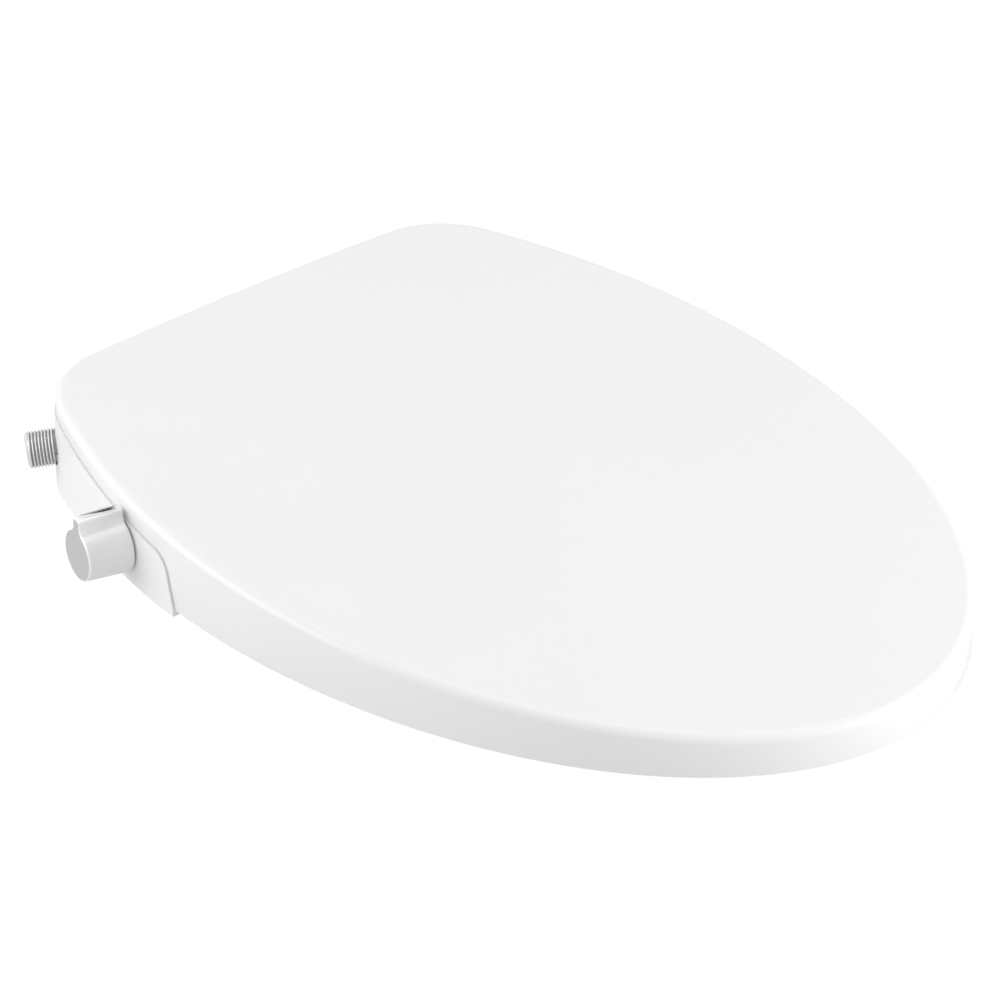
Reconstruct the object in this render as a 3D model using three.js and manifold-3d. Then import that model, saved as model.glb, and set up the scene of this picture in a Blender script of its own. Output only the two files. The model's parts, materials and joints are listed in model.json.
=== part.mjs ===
// Slim bidet seat with a hand valve: lid, seat ring, housing, twin wash wands and water path.
// Millimetres, +Z up, nose of the seat towards -Y, valve knob and water inlet on the -X side.
// The origin lies on the bowl's top face, midway between the two fixing bolts.
import * as THREE from "three";
import { mergeVertices } from "three/addons/utils/BufferGeometryUtils.js";
import Module from "manifold-3d";

const wasm = await Module();
wasm.setup();

const DEG = Math.PI / 180;

// ---------------------------------------------------------------- driving dimensions

// Clearances.
const TOUCH = 0.3; // between pieces that rest on each other
const RUNNING = 0.3; // radial, between a shaft and its bore
const PARTING_GAP = 0.8; // between the lid's edge and the housing
const SEAT_GAP = 3.5; // between the seat's top and the lid's inner face
const DECK_GAP = 1.5; // between the seat's underside and the housing's deck

// Lid: a half ellipse in front, slightly bowed flanks and two round rear corners.
const LID_HALF_WIDTH = 193;
const LID_REAR_Y = 55;
const LID_WIDEST_Y = -159;
const LID_NOSE_LENGTH = 302;
const LID_REAR_HALF_WIDTH = LID_HALF_WIDTH - 53; // where the flanks would meet the rear edge
const LID_CORNER_RADIUS = 55.5;
const LID_REAR_BOW = 2;
const LID_TOP_REAR_Z = 58.1;
const LID_TOP_NOSE_Z = 26.8;
const LID_SKIRT_Z = 5;
const LID_WALL = 3;
const LID_EDGE_RADIUS = 5;

// Line where the lid's edge parts from the housing, seen from the side.
const PARTING_REAR_Y = 25;
const PARTING_REAR_Z = 45.5;
const PARTING_KNEE_Y = -103;
const PARTING_KNEE_Z = 34.8;
const CHEEK_FRONT_Y = -121.5;

// Hinge line shared by the seat and the lid.
const HINGE_Y = 41;
const HINGE_Z = 44;
const HINGE_BARREL_RADIUS = 8;
const HINGE_SHAFT_RADIUS = 3.5;
const DAMPER_RADIUS = 5.4;
const TOWER_INNER_X = 92;
const TOWER_WIDTH = 16;
const LUG_WIDTH = 7;
const LUG_GAP = 2;
const TOWER_NECK_HALF = 3.5;

// Seat ring.
const SEAT_INSET = 8;
const SEAT_BOTTOM_Z = 4.5;
const SEAT_WALL = 3.2;
const SEAT_EDGE_RADIUS = 6;
const SEAT_REAR_Y = 4;
const SEAT_TONGUE_HALF = 134;
const OPENING_CENTRE_Y = -241;
const OPENING_HALF_LENGTH = 149;
const OPENING_HALF_WIDTH = 110;
const SEAT_COVER_THICKNESS = 2.4;

// Housing.
const BASE_BOTTOM_Z = 1.5;
const BASE_WALL = 2.8;
const BASE_PROUD_TOP = 0.6;
const BASE_PROUD_BOTTOM = 1.6;
const DECK_RECESS = 2;
const DECK_THICKNESS = 3.4;
const FRONT_ARC_HALF_WIDTH = 138;
const FRONT_ARC_DEPTH = 48;
const CHANNEL_RADIUS = 21; // room for the lid's rear edge as it swings
const CHANNEL_HALF_WIDTH = 130;
const CORNER_CHANNEL_RADIUS = 16; // the same for the lid's rear corners
const CORNER_CHANNEL_HALF_WIDTH = 143;
const SHELF_Z = 25;
const PAN_THICKNESS = 2;

// Mounting plate on the bowl.
const PLATE_HALF_WIDTH = 100;
const PLATE_FRONT_Y = -32;
const PLATE_REAR_Y = 34;
const PLATE_THICKNESS = 5.5;
const BOLT_SPACING = 140;
const BOLT_RADIUS = 4.2;
const SLOT_WIDTH = 20;
const SLOT_LENGTH = 50;

// Valve knob on the -X flank.
const KNOB_Y = -70.8;
const KNOB_Z = 21.7;
const KNOB_BASE_RADIUS = 15.9;
const KNOB_FACE_RADIUS = 14.5;
const KNOB_REACH = 28;
const KNOB_STANDOFF = BASE_PROUD_BOTTOM + 0.8;
const KNOB_TAB_WIDTH = 7;
const KNOB_TAB_RADIUS = 22.2;
const KNOB_CAP_RADIUS = 13.2;
const KNOB_CAP_THICKNESS = 1.6;
const SPINDLE_RADIUS = 4;
const VALVE_RADIUS = 8.2;
const VALVE_LENGTH = 32;

// Water inlet on the -X rear corner.
const INLET_CORNER_ANGLE = 36;
const INLET_Z = 24;
const INLET_DROOP = 7;
const INLET_RADIUS = 10.45;
const INLET_BORE = 6.8;
const INLET_REACH = 17;
const INLET_CHAMFER = 1.2;

// Wash wands and their cradle.
const WAND_TILT = 12;
const WAND_RADIUS = 4.6;
const WAND_FRONT_Y = -73;
const WAND_TIP_LENGTH = 14;
const WAND_PROUD = 4;
const SPRING_TURNS = 8;
const SPRING_WIRE = 0.45;
const SPRING_RADIUS = WAND_RADIUS + SPRING_WIRE + 0.55;
const COLLAR_RADIUS = SPRING_RADIUS + 0.6;
const CRADLE_BORE = COLLAR_RADIUS + 0.4;
const CRADLE_WALL = 1.3;
const CRADLE_LENGTH = 72;
const WAND_OFFSET_X = CRADLE_BORE + CRADLE_WALL + TOUCH; // from the middle to each wand
const WAND_FRONT_Z = CRADLE_BORE + CRADLE_WALL + 2.6;
const TUBE_RADIUS = 3;

// Gate over the wands.
const GATE_HALF_WIDTH = WAND_OFFSET_X + WAND_RADIUS + 8.2;
const GATE_TOP_Z = 31.5;
const GATE_BOTTOM_Z = 17;
const GATE_THICKNESS = 2.2;
const GATE_BARREL_RADIUS = 2.4;
const GATE_PIN_RADIUS = 1.2;
const GATE_STANDOFF = 4;
const WAND_DOORWAY_HALF = GATE_HALF_WIDTH;

// Release button on the +X flank.
const BUTTON_Y = -22;
const BUTTON_Z = 21;
const BUTTON_RADIUS = 8;
const BUTTON_PROUD = 1.8;
const BUTTON_LENGTH = 13;

// Rubber and fasteners.
const FOOT_RADIUS = 7.5;
const SCREW_HEAD_RADIUS = 3.2;
const SCREW_SHANK_RADIUS = 1.5;
const BOSS_RADIUS = 4.6;

// ---------------------------------------------------------------- materials

function material(color, roughness, metalness = 0) {
  return new THREE.MeshStandardMaterial({ color, roughness, metalness });
}

const WHITE = material(0xf6f6f5, 0.28);
const WHITE_HIDDEN = material(0xe6e7e6, 0.5);
const SATIN = material(0xc3c5c6, 0.35, 0.6);
const SILVER = material(0xd4d6d8, 0.25, 0.7);
const NICKEL = material(0xbfc0c0, 0.22, 1);
const STEEL = material(0x9fa2a4, 0.35, 1);
const RUBBER = material(0xd3d5d5, 0.8);
const GREY = material(0x8d9296, 0.55);
const HOSE = material(0xdadfe0, 0.4);

// ---------------------------------------------------------------- solids

// A closed geometry as a solid that can be cut and joined.
function solid(shape) {
  if (!shape.isBufferGeometry) return shape;
  const bare = shape.clone();
  bare.deleteAttribute("normal");
  bare.deleteAttribute("uv");
  const merged = mergeVertices(bare, 1e-4);
  return new wasm.Manifold(
    new wasm.Mesh({
      numProp: 3,
      vertProperties: merged.attributes.position.array,
      triVerts: new Uint32Array(merged.index.array),
    }),
  );
}

function join(first, ...others) {
  return others.reduce((body, other) => body.add(solid(other)), solid(first));
}

function cut(first, ...tools) {
  return tools.reduce((body, tool) => body.subtract(solid(tool)), solid(first));
}

function keep(first, ...masks) {
  return masks.reduce((body, mask) => body.intersect(solid(mask)), solid(first));
}

function geometryOf(shape) {
  if (shape.isBufferGeometry) return shape;
  const made = shape.getMesh();
  const geometry = new THREE.BufferGeometry();
  geometry.setAttribute("position", new THREE.BufferAttribute(made.vertProperties, 3));
  geometry.setIndex(new THREE.BufferAttribute(made.triVerts, 1));
  geometry.computeVertexNormals();
  return geometry;
}

function box(x0, x1, y0, y1, z0, z1) {
  const geometry = new THREE.BoxGeometry(x1 - x0, y1 - y0, z1 - z0);
  return geometry.translate((x0 + x1) / 2, (y0 + y1) / 2, (z0 + z1) / 2);
}

// A round bar or cone along Z, from z0 to z1.
function rod(radius, z0, z1, endRadius = radius, sides = 16) {
  const geometry = new THREE.CylinderGeometry(endRadius, radius, z1 - z0, sides);
  return geometry.rotateX(Math.PI / 2).translate(0, 0, (z0 + z1) / 2);
}

// A round bar along X, from x0 to x1.
function crossRod(radius, x0, x1, y, z, sides = 20) {
  return rod(radius, x0, x1, radius, sides).rotateY(Math.PI / 2).translate(0, y, z);
}

function prism(shape, z0, z1) {
  const options = { depth: z1 - z0, bevelEnabled: false, curveSegments: 12 };
  return new THREE.ExtrudeGeometry(shape, options).translate(0, 0, z0);
}

// A side profile, drawn as (y, z), extruded across the seat from x0 to x1.
function slab(profile, x0, x1) {
  const turn = new THREE.Matrix4().makeBasis(
    new THREE.Vector3(0, 1, 0),
    new THREE.Vector3(0, 0, 1),
    new THREE.Vector3(1, 0, 0),
  );
  const options = { depth: x1 - x0, bevelEnabled: false, curveSegments: 8 };
  return new THREE.ExtrudeGeometry(profile, options).applyMatrix4(turn).translate(x0, 0, 0);
}

// A profile of [radius, height] points turned about Z.
function turned(profile, sides = 24) {
  const points = profile.map(([radius, height]) => new THREE.Vector2(radius, height));
  return new THREE.LatheGeometry(points, sides).rotateX(Math.PI / 2);
}

// A solid skinned over rings of points, lowest first, each ring counter-clockwise from above.
function loft(rings) {
  const count = rings[0].length;
  const index = [];
  for (let level = 0; level < rings.length - 1; level++) {
    for (let i = 0; i < count; i++) {
      const a = level * count + i;
      const b = level * count + ((i + 1) % count);
      index.push(a, b, b + count, a, b + count, a + count);
    }
  }
  const floor = rings[0].map((p) => new THREE.Vector2(p.x, p.y));
  const roof = (rings.length - 1) * count;
  for (const [a, b, c] of THREE.ShapeUtils.triangulateShape(floor, [])) {
    index.push(c, b, a, roof + a, roof + b, roof + c);
  }
  const geometry = new THREE.BufferGeometry().setFromPoints(rings.flat());
  return geometry.setIndex(index);
}

// One ring of a loft: an outline at a height, or at a height that depends on y.
function level(outline, height) {
  const z = typeof height === "function" ? height : () => height;
  return outline.map((p) => new THREE.Vector3(p.x, p.y, z(p.y)));
}

// A closed outline moved outwards by a distance, or inwards if it is negative.
function offset(outline, distance) {
  return outline.map((point, i) => {
    const before = outline.at(i - 1);
    const after = outline[(i + 1) % outline.length];
    const a = point.clone().sub(before).normalize();
    const b = after.clone().sub(point).normalize();
    const normal = new THREE.Vector2(a.y + b.y, -a.x - b.x).normalize();
    return point.clone().addScaledVector(normal, distance / Math.sqrt((1 + a.dot(b)) / 2));
  });
}

// A solid between a bottom height and a sloping top, with a rounded top edge.
function crowned(outline, bottom, top, radius, steps) {
  const rings = [level(outline, bottom)];
  for (let i = 0; i <= steps; i++) {
    const turn = ((i / steps) * Math.PI) / 2;
    const inset = radius * (1 - Math.cos(turn));
    const drop = radius * (1 - Math.sin(turn));
    rings.push(level(offset(outline, -inset), (y) => top(y) - drop));
  }
  return loft(rings);
}

function ellipse(halfWidth, halfLength, centreY, sides = 48) {
  return Array.from({ length: sides }, (_, i) => {
    const turn = (i / sides) * 2 * Math.PI;
    return new THREE.Vector2(halfWidth * Math.cos(turn), centreY + halfLength * Math.sin(turn));
  });
}

// A round hose or wire along a curve.
function hose(curve, radius, steps, sides = 8) {
  const section = new THREE.Shape(ellipse(radius, radius, 0, sides));
  const options = { extrudePath: curve, steps, bevelEnabled: false };
  return new THREE.ExtrudeGeometry(section, options);
}

// ---------------------------------------------------------------- outlines and heights

const FLANK_BOW = (LID_HALF_WIDTH - LID_REAR_HALF_WIDTH) / (LID_REAR_Y - LID_WIDEST_Y) ** 2;
const CORNER_Y = LID_REAR_Y - LID_REAR_BOW - LID_CORNER_RADIUS;
const CORNER_START = cornerStart();
const CORNER_START_Y = CORNER_Y + LID_CORNER_RADIUS * Math.sin(CORNER_START);
const CORNER_X = flankX(CORNER_START_Y) - LID_CORNER_RADIUS * Math.cos(CORNER_START);

function flankX(y) {
  return LID_HALF_WIDTH - FLANK_BOW * (y - LID_WIDEST_Y) ** 2;
}

// Angle of the flank's outward normal, from the +X axis towards the rear.
function flankAngle(y) {
  return Math.atan(2 * FLANK_BOW * (y - LID_WIDEST_Y));
}

// Angle at which the round corner takes over from the flank, where both run the same way.
function cornerStart() {
  let angle = flankAngle(CORNER_Y);
  for (let i = 0; i < 20; i++) {
    angle = flankAngle(CORNER_Y + LID_CORNER_RADIUS * Math.sin(angle));
  }
  return angle;
}

function lidOutline() {
  const NOSE_STEPS = 16;
  const FLANK_STEPS = 6;
  const CORNER_STEPS = 6;
  const REAR_STEPS = 2;
  const half = [];
  for (let i = 0; i < NOSE_STEPS; i++) {
    const turn = ((i / NOSE_STEPS) * Math.PI) / 2;
    const y = LID_WIDEST_Y - LID_NOSE_LENGTH * Math.cos(turn);
    half.push(new THREE.Vector2(LID_HALF_WIDTH * Math.sin(turn), y));
  }
  for (let i = 0; i < FLANK_STEPS; i++) {
    const y = THREE.MathUtils.lerp(LID_WIDEST_Y, CORNER_START_Y, i / FLANK_STEPS);
    half.push(new THREE.Vector2(flankX(y), y));
  }
  for (let i = 0; i < CORNER_STEPS; i++) {
    const turn = THREE.MathUtils.lerp(CORNER_START, Math.PI / 2, i / CORNER_STEPS);
    const x = CORNER_X + LID_CORNER_RADIUS * Math.cos(turn);
    half.push(new THREE.Vector2(x, CORNER_Y + LID_CORNER_RADIUS * Math.sin(turn)));
  }
  for (let i = 0; i <= REAR_STEPS; i++) {
    const x = CORNER_X * (1 - i / REAR_STEPS);
    half.push(new THREE.Vector2(x, LID_REAR_Y - LID_REAR_BOW * (x / CORNER_X) ** 2));
  }
  const other = half.slice(1, -1).reverse();
  return [...half, ...other.map((p) => new THREE.Vector2(-p.x, p.y))];
}

const OUTLINE = lidOutline();
const LID_NOSE_Y = LID_WIDEST_Y - LID_NOSE_LENGTH;
const LID_SLOPE = (LID_TOP_REAR_Z - LID_TOP_NOSE_Z) / (LID_REAR_Y - LID_NOSE_Y);
const BEYOND = LID_HALF_WIDTH + 20; // past every side of the seat

function lidTop(y) {
  return LID_TOP_REAR_Z - LID_SLOPE * (LID_REAR_Y - y);
}

function lidCeiling(y) {
  return lidTop(y) - LID_WALL;
}

function seatTop(y) {
  return lidCeiling(y) - SEAT_GAP;
}

const PARTING_SLOPE = (PARTING_REAR_Z - PARTING_KNEE_Z) / (PARTING_REAR_Y - PARTING_KNEE_Y);

function partingZ(y) {
  return PARTING_REAR_Z + PARTING_SLOPE * (y - PARTING_REAR_Y);
}

function deckTop(y) {
  return partingZ(y) - PARTING_GAP - DECK_RECESS;
}

function seatUnderside(y) {
  return deckTop(y) + DECK_GAP;
}

// The side profile of the housing, moved back and down; above gives what lies over it.
function partingProfile(back, down, above = false) {
  const rear = LID_REAR_Y + 30;
  const profile = new THREE.Shape();
  profile.moveTo(rear, partingZ(rear) - down);
  profile.lineTo(PARTING_KNEE_Y + back, PARTING_KNEE_Z - down);
  profile.quadraticCurveTo(
    PARTING_KNEE_Y - 11 + back,
    PARTING_KNEE_Z - 0.8 - down,
    PARTING_KNEE_Y - 13.5 + back,
    PARTING_KNEE_Z - 13 - down,
  );
  profile.lineTo(CHEEK_FRONT_Y + back, LID_SKIRT_Z - down);
  profile.lineTo(CHEEK_FRONT_Y + back, -20);
  if (above) {
    profile.lineTo(LID_NOSE_Y - 30, -20);
    profile.lineTo(LID_NOSE_Y - 30, LID_TOP_REAR_Z + 40);
    profile.lineTo(rear, LID_TOP_REAR_Z + 40);
  } else {
    profile.lineTo(rear, -20);
  }
  return profile;
}

// The housing's concave front edge, as the solid that it is cut back by.
function frontArc(margin) {
  const outline = ellipse(
    FRONT_ARC_HALF_WIDTH + margin,
    FRONT_ARC_DEPTH + margin,
    CHEEK_FRONT_Y,
  );
  return prism(new THREE.Shape(outline), -30, 100);
}

// A local frame on the housing's wall, its z axis along the outward normal.
function wallFrame(x, y, z, angle, droop = 0) {
  const frame = new THREE.Group();
  const normal = new THREE.Vector3(
    Math.cos(angle) * Math.cos(droop),
    Math.sin(angle) * Math.cos(droop),
    -Math.sin(droop),
  );
  if (x < 0) normal.x *= -1;
  const side = new THREE.Vector3(0, 0, 1).cross(normal).normalize();
  const up = normal.clone().cross(side);
  const place = new THREE.Matrix4().makeBasis(side, up, normal).setPosition(x, y, z);
  place.decompose(frame.position, frame.quaternion, frame.scale);
  frame.updateMatrixWorld(true);
  return frame;
}

function inFrame(shape, frame) {
  return geometryOf(shape).clone().applyMatrix4(frame.matrixWorld);
}

const knobFrame = wallFrame(-flankX(KNOB_Y), KNOB_Y, KNOB_Z, flankAngle(KNOB_Y));
const inletFrame = wallFrame(
  -CORNER_X - LID_CORNER_RADIUS * Math.cos(INLET_CORNER_ANGLE * DEG),
  CORNER_Y + LID_CORNER_RADIUS * Math.sin(INLET_CORNER_ANGLE * DEG),
  INLET_Z,
  INLET_CORNER_ANGLE * DEG,
  INLET_DROOP * DEG,
);
const buttonFrame = wallFrame(flankX(BUTTON_Y), BUTTON_Y, BUTTON_Z, flankAngle(BUTTON_Y));

const wandFrame = new THREE.Group();
wandFrame.position.set(0, WAND_FRONT_Y, WAND_FRONT_Z);
wandFrame.rotation.x = Math.PI / 2 + WAND_TILT * DEG;
wandFrame.updateMatrixWorld(true);

const seatOutline = offset(OUTLINE, -SEAT_INSET);
const BOTH_SIDES = [
  ["left", 1],
  ["right", -1],
];

// ---------------------------------------------------------------- scene graph

const bidetSeat = new THREE.Group();
bidetSeat.add(knobFrame, inletFrame, buttonFrame, wandFrame);

function piece(name, shape, look, parent = bidetSeat) {
  const mesh = new THREE.Mesh(geometryOf(shape), look);
  mesh.name = name;
  parent.add(mesh);
  return mesh;
}

// ---------------------------------------------------------------- lid

const TOWER_OUTER_X = TOWER_INNER_X + TOWER_WIDTH;
const LID_LUG_X = TOWER_OUTER_X + LUG_GAP;
const SEAT_LUG_X = TOWER_INNER_X - LUG_GAP - LUG_WIDTH;
const FLAP_HALF_WIDTH = SEAT_LUG_X - LUG_GAP;
const FLAP_BOTTOM_Z = HINGE_Z - 13;

function makeLid() {
  const outer = crowned(OUTLINE, LID_SKIRT_Z, lidTop, LID_EDGE_RADIUS, 4);
  const innerOutline = offset(OUTLINE, -LID_WALL);
  const inner = crowned(innerOutline, -10, lidCeiling, LID_EDGE_RADIUS - LID_WALL, 1);
  const below = slab(partingProfile(0, 0), -BEYOND, BEYOND);
  let lid = cut(outer, inner, below);
  const rearWall = cut(prism(new THREE.Shape(OUTLINE), 0, 52), inner);
  const flapRoom = box(
    -FLAP_HALF_WIDTH,
    FLAP_HALF_WIDTH,
    HINGE_Y,
    LID_REAR_Y + 5,
    FLAP_BOTTOM_Z,
    partingZ(LID_REAR_Y) + 3,
  );
  lid = join(lid, keep(rearWall, flapRoom));
  for (const [, side] of BOTH_SIDES) {
    const notchIn = side * (TOWER_INNER_X - LUG_GAP);
    const notchOut = side * (TOWER_OUTER_X + LUG_GAP - TOUCH);
    const notch = box(
      Math.min(notchIn, notchOut),
      Math.max(notchIn, notchOut),
      HINGE_Y,
      LID_REAR_Y + 5,
      HINGE_Z - HINGE_BARREL_RADIUS,
      lidCeiling(HINGE_Y) - 0.5,
    );
    const lugIn = side * LID_LUG_X;
    const lugOut = side * (LID_LUG_X + LUG_WIDTH);
    const x0 = Math.min(lugIn, lugOut);
    const x1 = Math.max(lugIn, lugOut);
    const web = box(x0, x1, HINGE_Y - 7, HINGE_Y + 7, HINGE_Z, lidTop(HINGE_Y) - 1.2);
    const eye = crossRod(HINGE_BARREL_RADIUS, x0, x1, HINGE_Y, HINGE_Z);
    const bore = crossRod(HINGE_SHAFT_RADIUS + RUNNING, x0 - 1, x1 + 1, HINGE_Y, HINGE_Z);
    lid = cut(join(cut(lid, notch), web, eye), bore);
  }
  piece("lid_shell", lid, WHITE);

  const padPlaces = [
    ["front", 92, -372],
    ["rear", 150, -178],
  ];
  for (const [end, x, y] of padPlaces) {
    for (const [hand, side] of BOTH_SIDES) {
      const height = SEAT_GAP - 2 * TOUCH;
      const pad = piece(`lid_pad_${end}_${hand}`, rod(7, 0, height), RUBBER);
      pad.position.set(side * x, y, seatTop(y) + TOUCH);
      pad.rotation.x = Math.atan(LID_SLOPE);
    }
  }
}

// ---------------------------------------------------------------- seat ring

function openingCutter(margin) {
  const wide = (extra) =>
    ellipse(
      OPENING_HALF_WIDTH + margin + extra,
      OPENING_HALF_LENGTH + margin + extra,
      OPENING_CENTRE_Y,
    );
  return loft([
    level(wide(0), -20),
    level(wide(0), (y) => seatTop(y) - SEAT_EDGE_RADIUS),
    level(wide(1.8), (y) => seatTop(y) - SEAT_EDGE_RADIUS + 4.2),
    level(wide(SEAT_EDGE_RADIUS), seatTop),
    level(wide(SEAT_EDGE_RADIUS), (y) => seatTop(y) + 10),
  ]);
}

const SEAT_SHOULDER_Y = CHEEK_FRONT_Y - 3.5;

function tongueOutline() {
  const half = SEAT_TONGUE_HALF;
  const round = 14;
  const shape = new THREE.Shape();
  shape.moveTo(-half, SEAT_SHOULDER_Y - 6);
  shape.lineTo(half, SEAT_SHOULDER_Y - 6);
  shape.lineTo(half, SEAT_REAR_Y - round);
  shape.quadraticCurveTo(half, SEAT_REAR_Y, half - round, SEAT_REAR_Y);
  shape.lineTo(round - half, SEAT_REAR_Y);
  shape.quadraticCurveTo(-half, SEAT_REAR_Y, -half, SEAT_REAR_Y - round);
  return shape.getPoints(5).slice(0, -1);
}

function makeSeat() {
  const inFront = (y) => box(-BEYOND, BEYOND, LID_NOSE_Y - 10, y, -30, 80);
  const ring = keep(
    crowned(seatOutline, SEAT_BOTTOM_Z, seatTop, SEAT_EDGE_RADIUS, 4),
    inFront(SEAT_SHOULDER_Y),
  );
  const tongue = crowned(tongueOutline(), seatUnderside, seatTop, 2.5, 2);
  const hollowOutline = offset(seatOutline, -SEAT_WALL);
  const hollow = cut(
    keep(
      loft([level(hollowOutline, -20), level(hollowOutline, (y) => seatTop(y) - SEAT_WALL)]),
      inFront(SEAT_SHOULDER_Y - SEAT_WALL),
    ),
    openingCutter(SEAT_WALL),
  );
  let seat = cut(cut(ring, hollow), openingCutter(0));
  seat = join(seat, cut(cut(tongue, openingCutter(0)), hollow));
  for (const [, side] of BOTH_SIDES) {
    const x0 = side > 0 ? SEAT_LUG_X : -SEAT_LUG_X - LUG_WIDTH;
    const x1 = x0 + LUG_WIDTH;
    const armTop = seatTop(SEAT_REAR_Y);
    const arm = box(x0, x1, SEAT_REAR_Y - 16, HINGE_Y, armTop - 4.4, armTop);
    const eye = crossRod(HINGE_BARREL_RADIUS, x0, x1, HINGE_Y, HINGE_Z);
    const bore = crossRod(HINGE_SHAFT_RADIUS + RUNNING, x0 - 1, x1 + 1, HINGE_Y, HINGE_Z);
    seat = cut(join(seat, arm, eye), bore);
  }
  piece("seat_ring", seat, WHITE);

  const coverOutline = offset(seatOutline, -SEAT_WALL - TOUCH);
  const coverBottom = SEAT_BOTTOM_Z + 0.2;
  const cover = cut(
    keep(
      loft([
        level(coverOutline, coverBottom),
        level(coverOutline, coverBottom + SEAT_COVER_THICKNESS),
      ]),
      inFront(SEAT_SHOULDER_Y - SEAT_WALL - TOUCH),
    ),
    openingCutter(SEAT_WALL + TOUCH),
  );
  piece("seat_underside", cover, WHITE_HIDDEN);

  const bumperPlaces = [
    ["front", 78, -402],
    ["rear", 152, -205],
  ];
  for (const [end, x, y] of bumperPlaces) {
    for (const [hand, side] of BOTH_SIDES) {
      const bumper = rod(9, 0, coverBottom - TOUCH, 7.5);
      piece(`seat_bumper_${end}_${hand}`, bumper, RUBBER).position.set(side * x, y, 0);
    }
  }
}

// ---------------------------------------------------------------- housing

const bossPlaces = [
  [150, -98],
  [130, -15],
  [62, 46],
];

function shelfRoom(margin) {
  const wide = CHANNEL_HALF_WIDTH + margin;
  const wider = CORNER_CHANNEL_HALF_WIDTH + margin;
  const swing = crossRod(CHANNEL_RADIUS + margin, -wide, wide, HINGE_Y, HINGE_Z, 36);
  const corners = crossRod(CORNER_CHANNEL_RADIUS + margin, -wider, wider, HINGE_Y, HINGE_Z, 28);
  const behind = box(-wider, wider, HINGE_Y, LID_REAR_Y + 10, SHELF_Z - margin, 100);
  return join(swing, corners, behind);
}

function makeHousing() {
  const outer = loft([
    level(offset(OUTLINE, BASE_PROUD_BOTTOM), BASE_BOTTOM_Z),
    level(offset(OUTLINE, BASE_PROUD_TOP), LID_TOP_REAR_Z),
  ]);
  const hollowOutline = offset(OUTLINE, BASE_PROUD_TOP - BASE_WALL);
  const lift = DECK_RECESS + DECK_THICKNESS;
  const hollow = cut(
    keep(
      loft([level(hollowOutline, -20), level(hollowOutline, LID_TOP_REAR_Z)]),
      slab(partingProfile(PARTING_GAP + BASE_WALL, PARTING_GAP + lift), -BEYOND, BEYOND),
    ),
    frontArc(BASE_WALL),
    shelfRoom(BASE_WALL),
  );
  const profile = slab(partingProfile(PARTING_GAP, PARTING_GAP), -BEYOND, BEYOND);
  const deckRoom = slab(
    partingProfile(PARTING_GAP, PARTING_GAP + DECK_RECESS, true),
    -SEAT_TONGUE_HALF - 5,
    SEAT_TONGUE_HALF + 5,
  );
  let base = cut(keep(outer, profile), frontArc(0), deckRoom, shelfRoom(0));
  const boss = cut(
    rod(BOSS_RADIUS, BASE_BOTTOM_Z + PAN_THICKNESS + TOUCH, 60, BOSS_RADIUS, 12),
    rod(SCREW_SHANK_RADIUS + TOUCH, 0, 15, SCREW_SHANK_RADIUS + TOUCH, 8),
  );
  let room = hollow;
  for (const [x, y] of bossPlaces) {
    for (const [, side] of BOTH_SIDES) {
      room = cut(room, boss.translate([side * x, y, 0]));
    }
  }
  base = cut(base, room);

  // Hinge towers: a barrel on the hinge line and a neck that joins it to the deck.
  for (const [, side] of BOTH_SIDES) {
    const x0 = side > 0 ? TOWER_INNER_X : -TOWER_OUTER_X;
    const x1 = x0 + TOWER_WIDTH;
    const neck = box(
      x0,
      x1,
      HINGE_Y - CHANNEL_RADIUS - 12,
      HINGE_Y,
      HINGE_Z - TOWER_NECK_HALF,
      HINGE_Z + TOWER_NECK_HALF,
    );
    const barrel = crossRod(HINGE_BARREL_RADIUS, x0, x1, HINGE_Y, HINGE_Z);
    const bore = crossRod(DAMPER_RADIUS + TOUCH, x0 - 1, x1 + 1, HINGE_Y, HINGE_Z);
    base = cut(join(base, neck, barrel), bore);
  }

  // Openings for the knob's spindle, the inlet, the release button and the wands.
  const spindleHole = inFrame(rod(SPINDLE_RADIUS + 1.2, -8, 6), knobFrame);
  const inletHole = inFrame(
    join(
      rod(INLET_RADIUS + TOUCH, -BASE_WALL - 2, 6),
      rod(INLET_RADIUS - 2 + TOUCH, -INLET_TAIL - 1, 0),
    ),
    inletFrame,
  );
  const buttonHole = inFrame(rod(BUTTON_RADIUS + RUNNING, -8, 6), buttonFrame);
  const doorway = box(
    -WAND_DOORWAY_HALF,
    WAND_DOORWAY_HALF,
    WAND_FRONT_Y - 8,
    WAND_FRONT_Y + BASE_WALL + 1,
    -1,
    GATE_TOP_Z - 4,
  );
  base = cut(base, spindleHole, inletHole, buttonHole, doorway);

  // Two ears that carry the gate's pins.
  for (const [, side] of BOTH_SIDES) {
    const x0 = side > 0 ? GATE_HALF_WIDTH + TOUCH : -GATE_HALF_WIDTH - TOUCH - 4;
    const x1 = x0 + 4;
    const gateY = gateAxisY();
    const web = box(x0, x1, gateY, WAND_FRONT_Y + 2, GATE_TOP_Z - 2.4, GATE_TOP_Z + 2.4);
    const eye = crossRod(GATE_BARREL_RADIUS, x0, x1, gateY, GATE_TOP_Z, 16);
    const bore = crossRod(GATE_PIN_RADIUS + RUNNING, x0 - 1, x1 + 1, gateY, GATE_TOP_Z, 12);
    base = cut(join(base, web, eye), bore);
  }
  piece("base_cover", base, WHITE);

  makePan(hollowOutline);
  makeFeetAndScrews();
}

function pocketRoom(margin, top) {
  return box(
    -PLATE_HALF_WIDTH - margin,
    PLATE_HALF_WIDTH + margin,
    PLATE_FRONT_Y - margin,
    PLATE_REAR_Y + margin,
    -2,
    top,
  );
}

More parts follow.
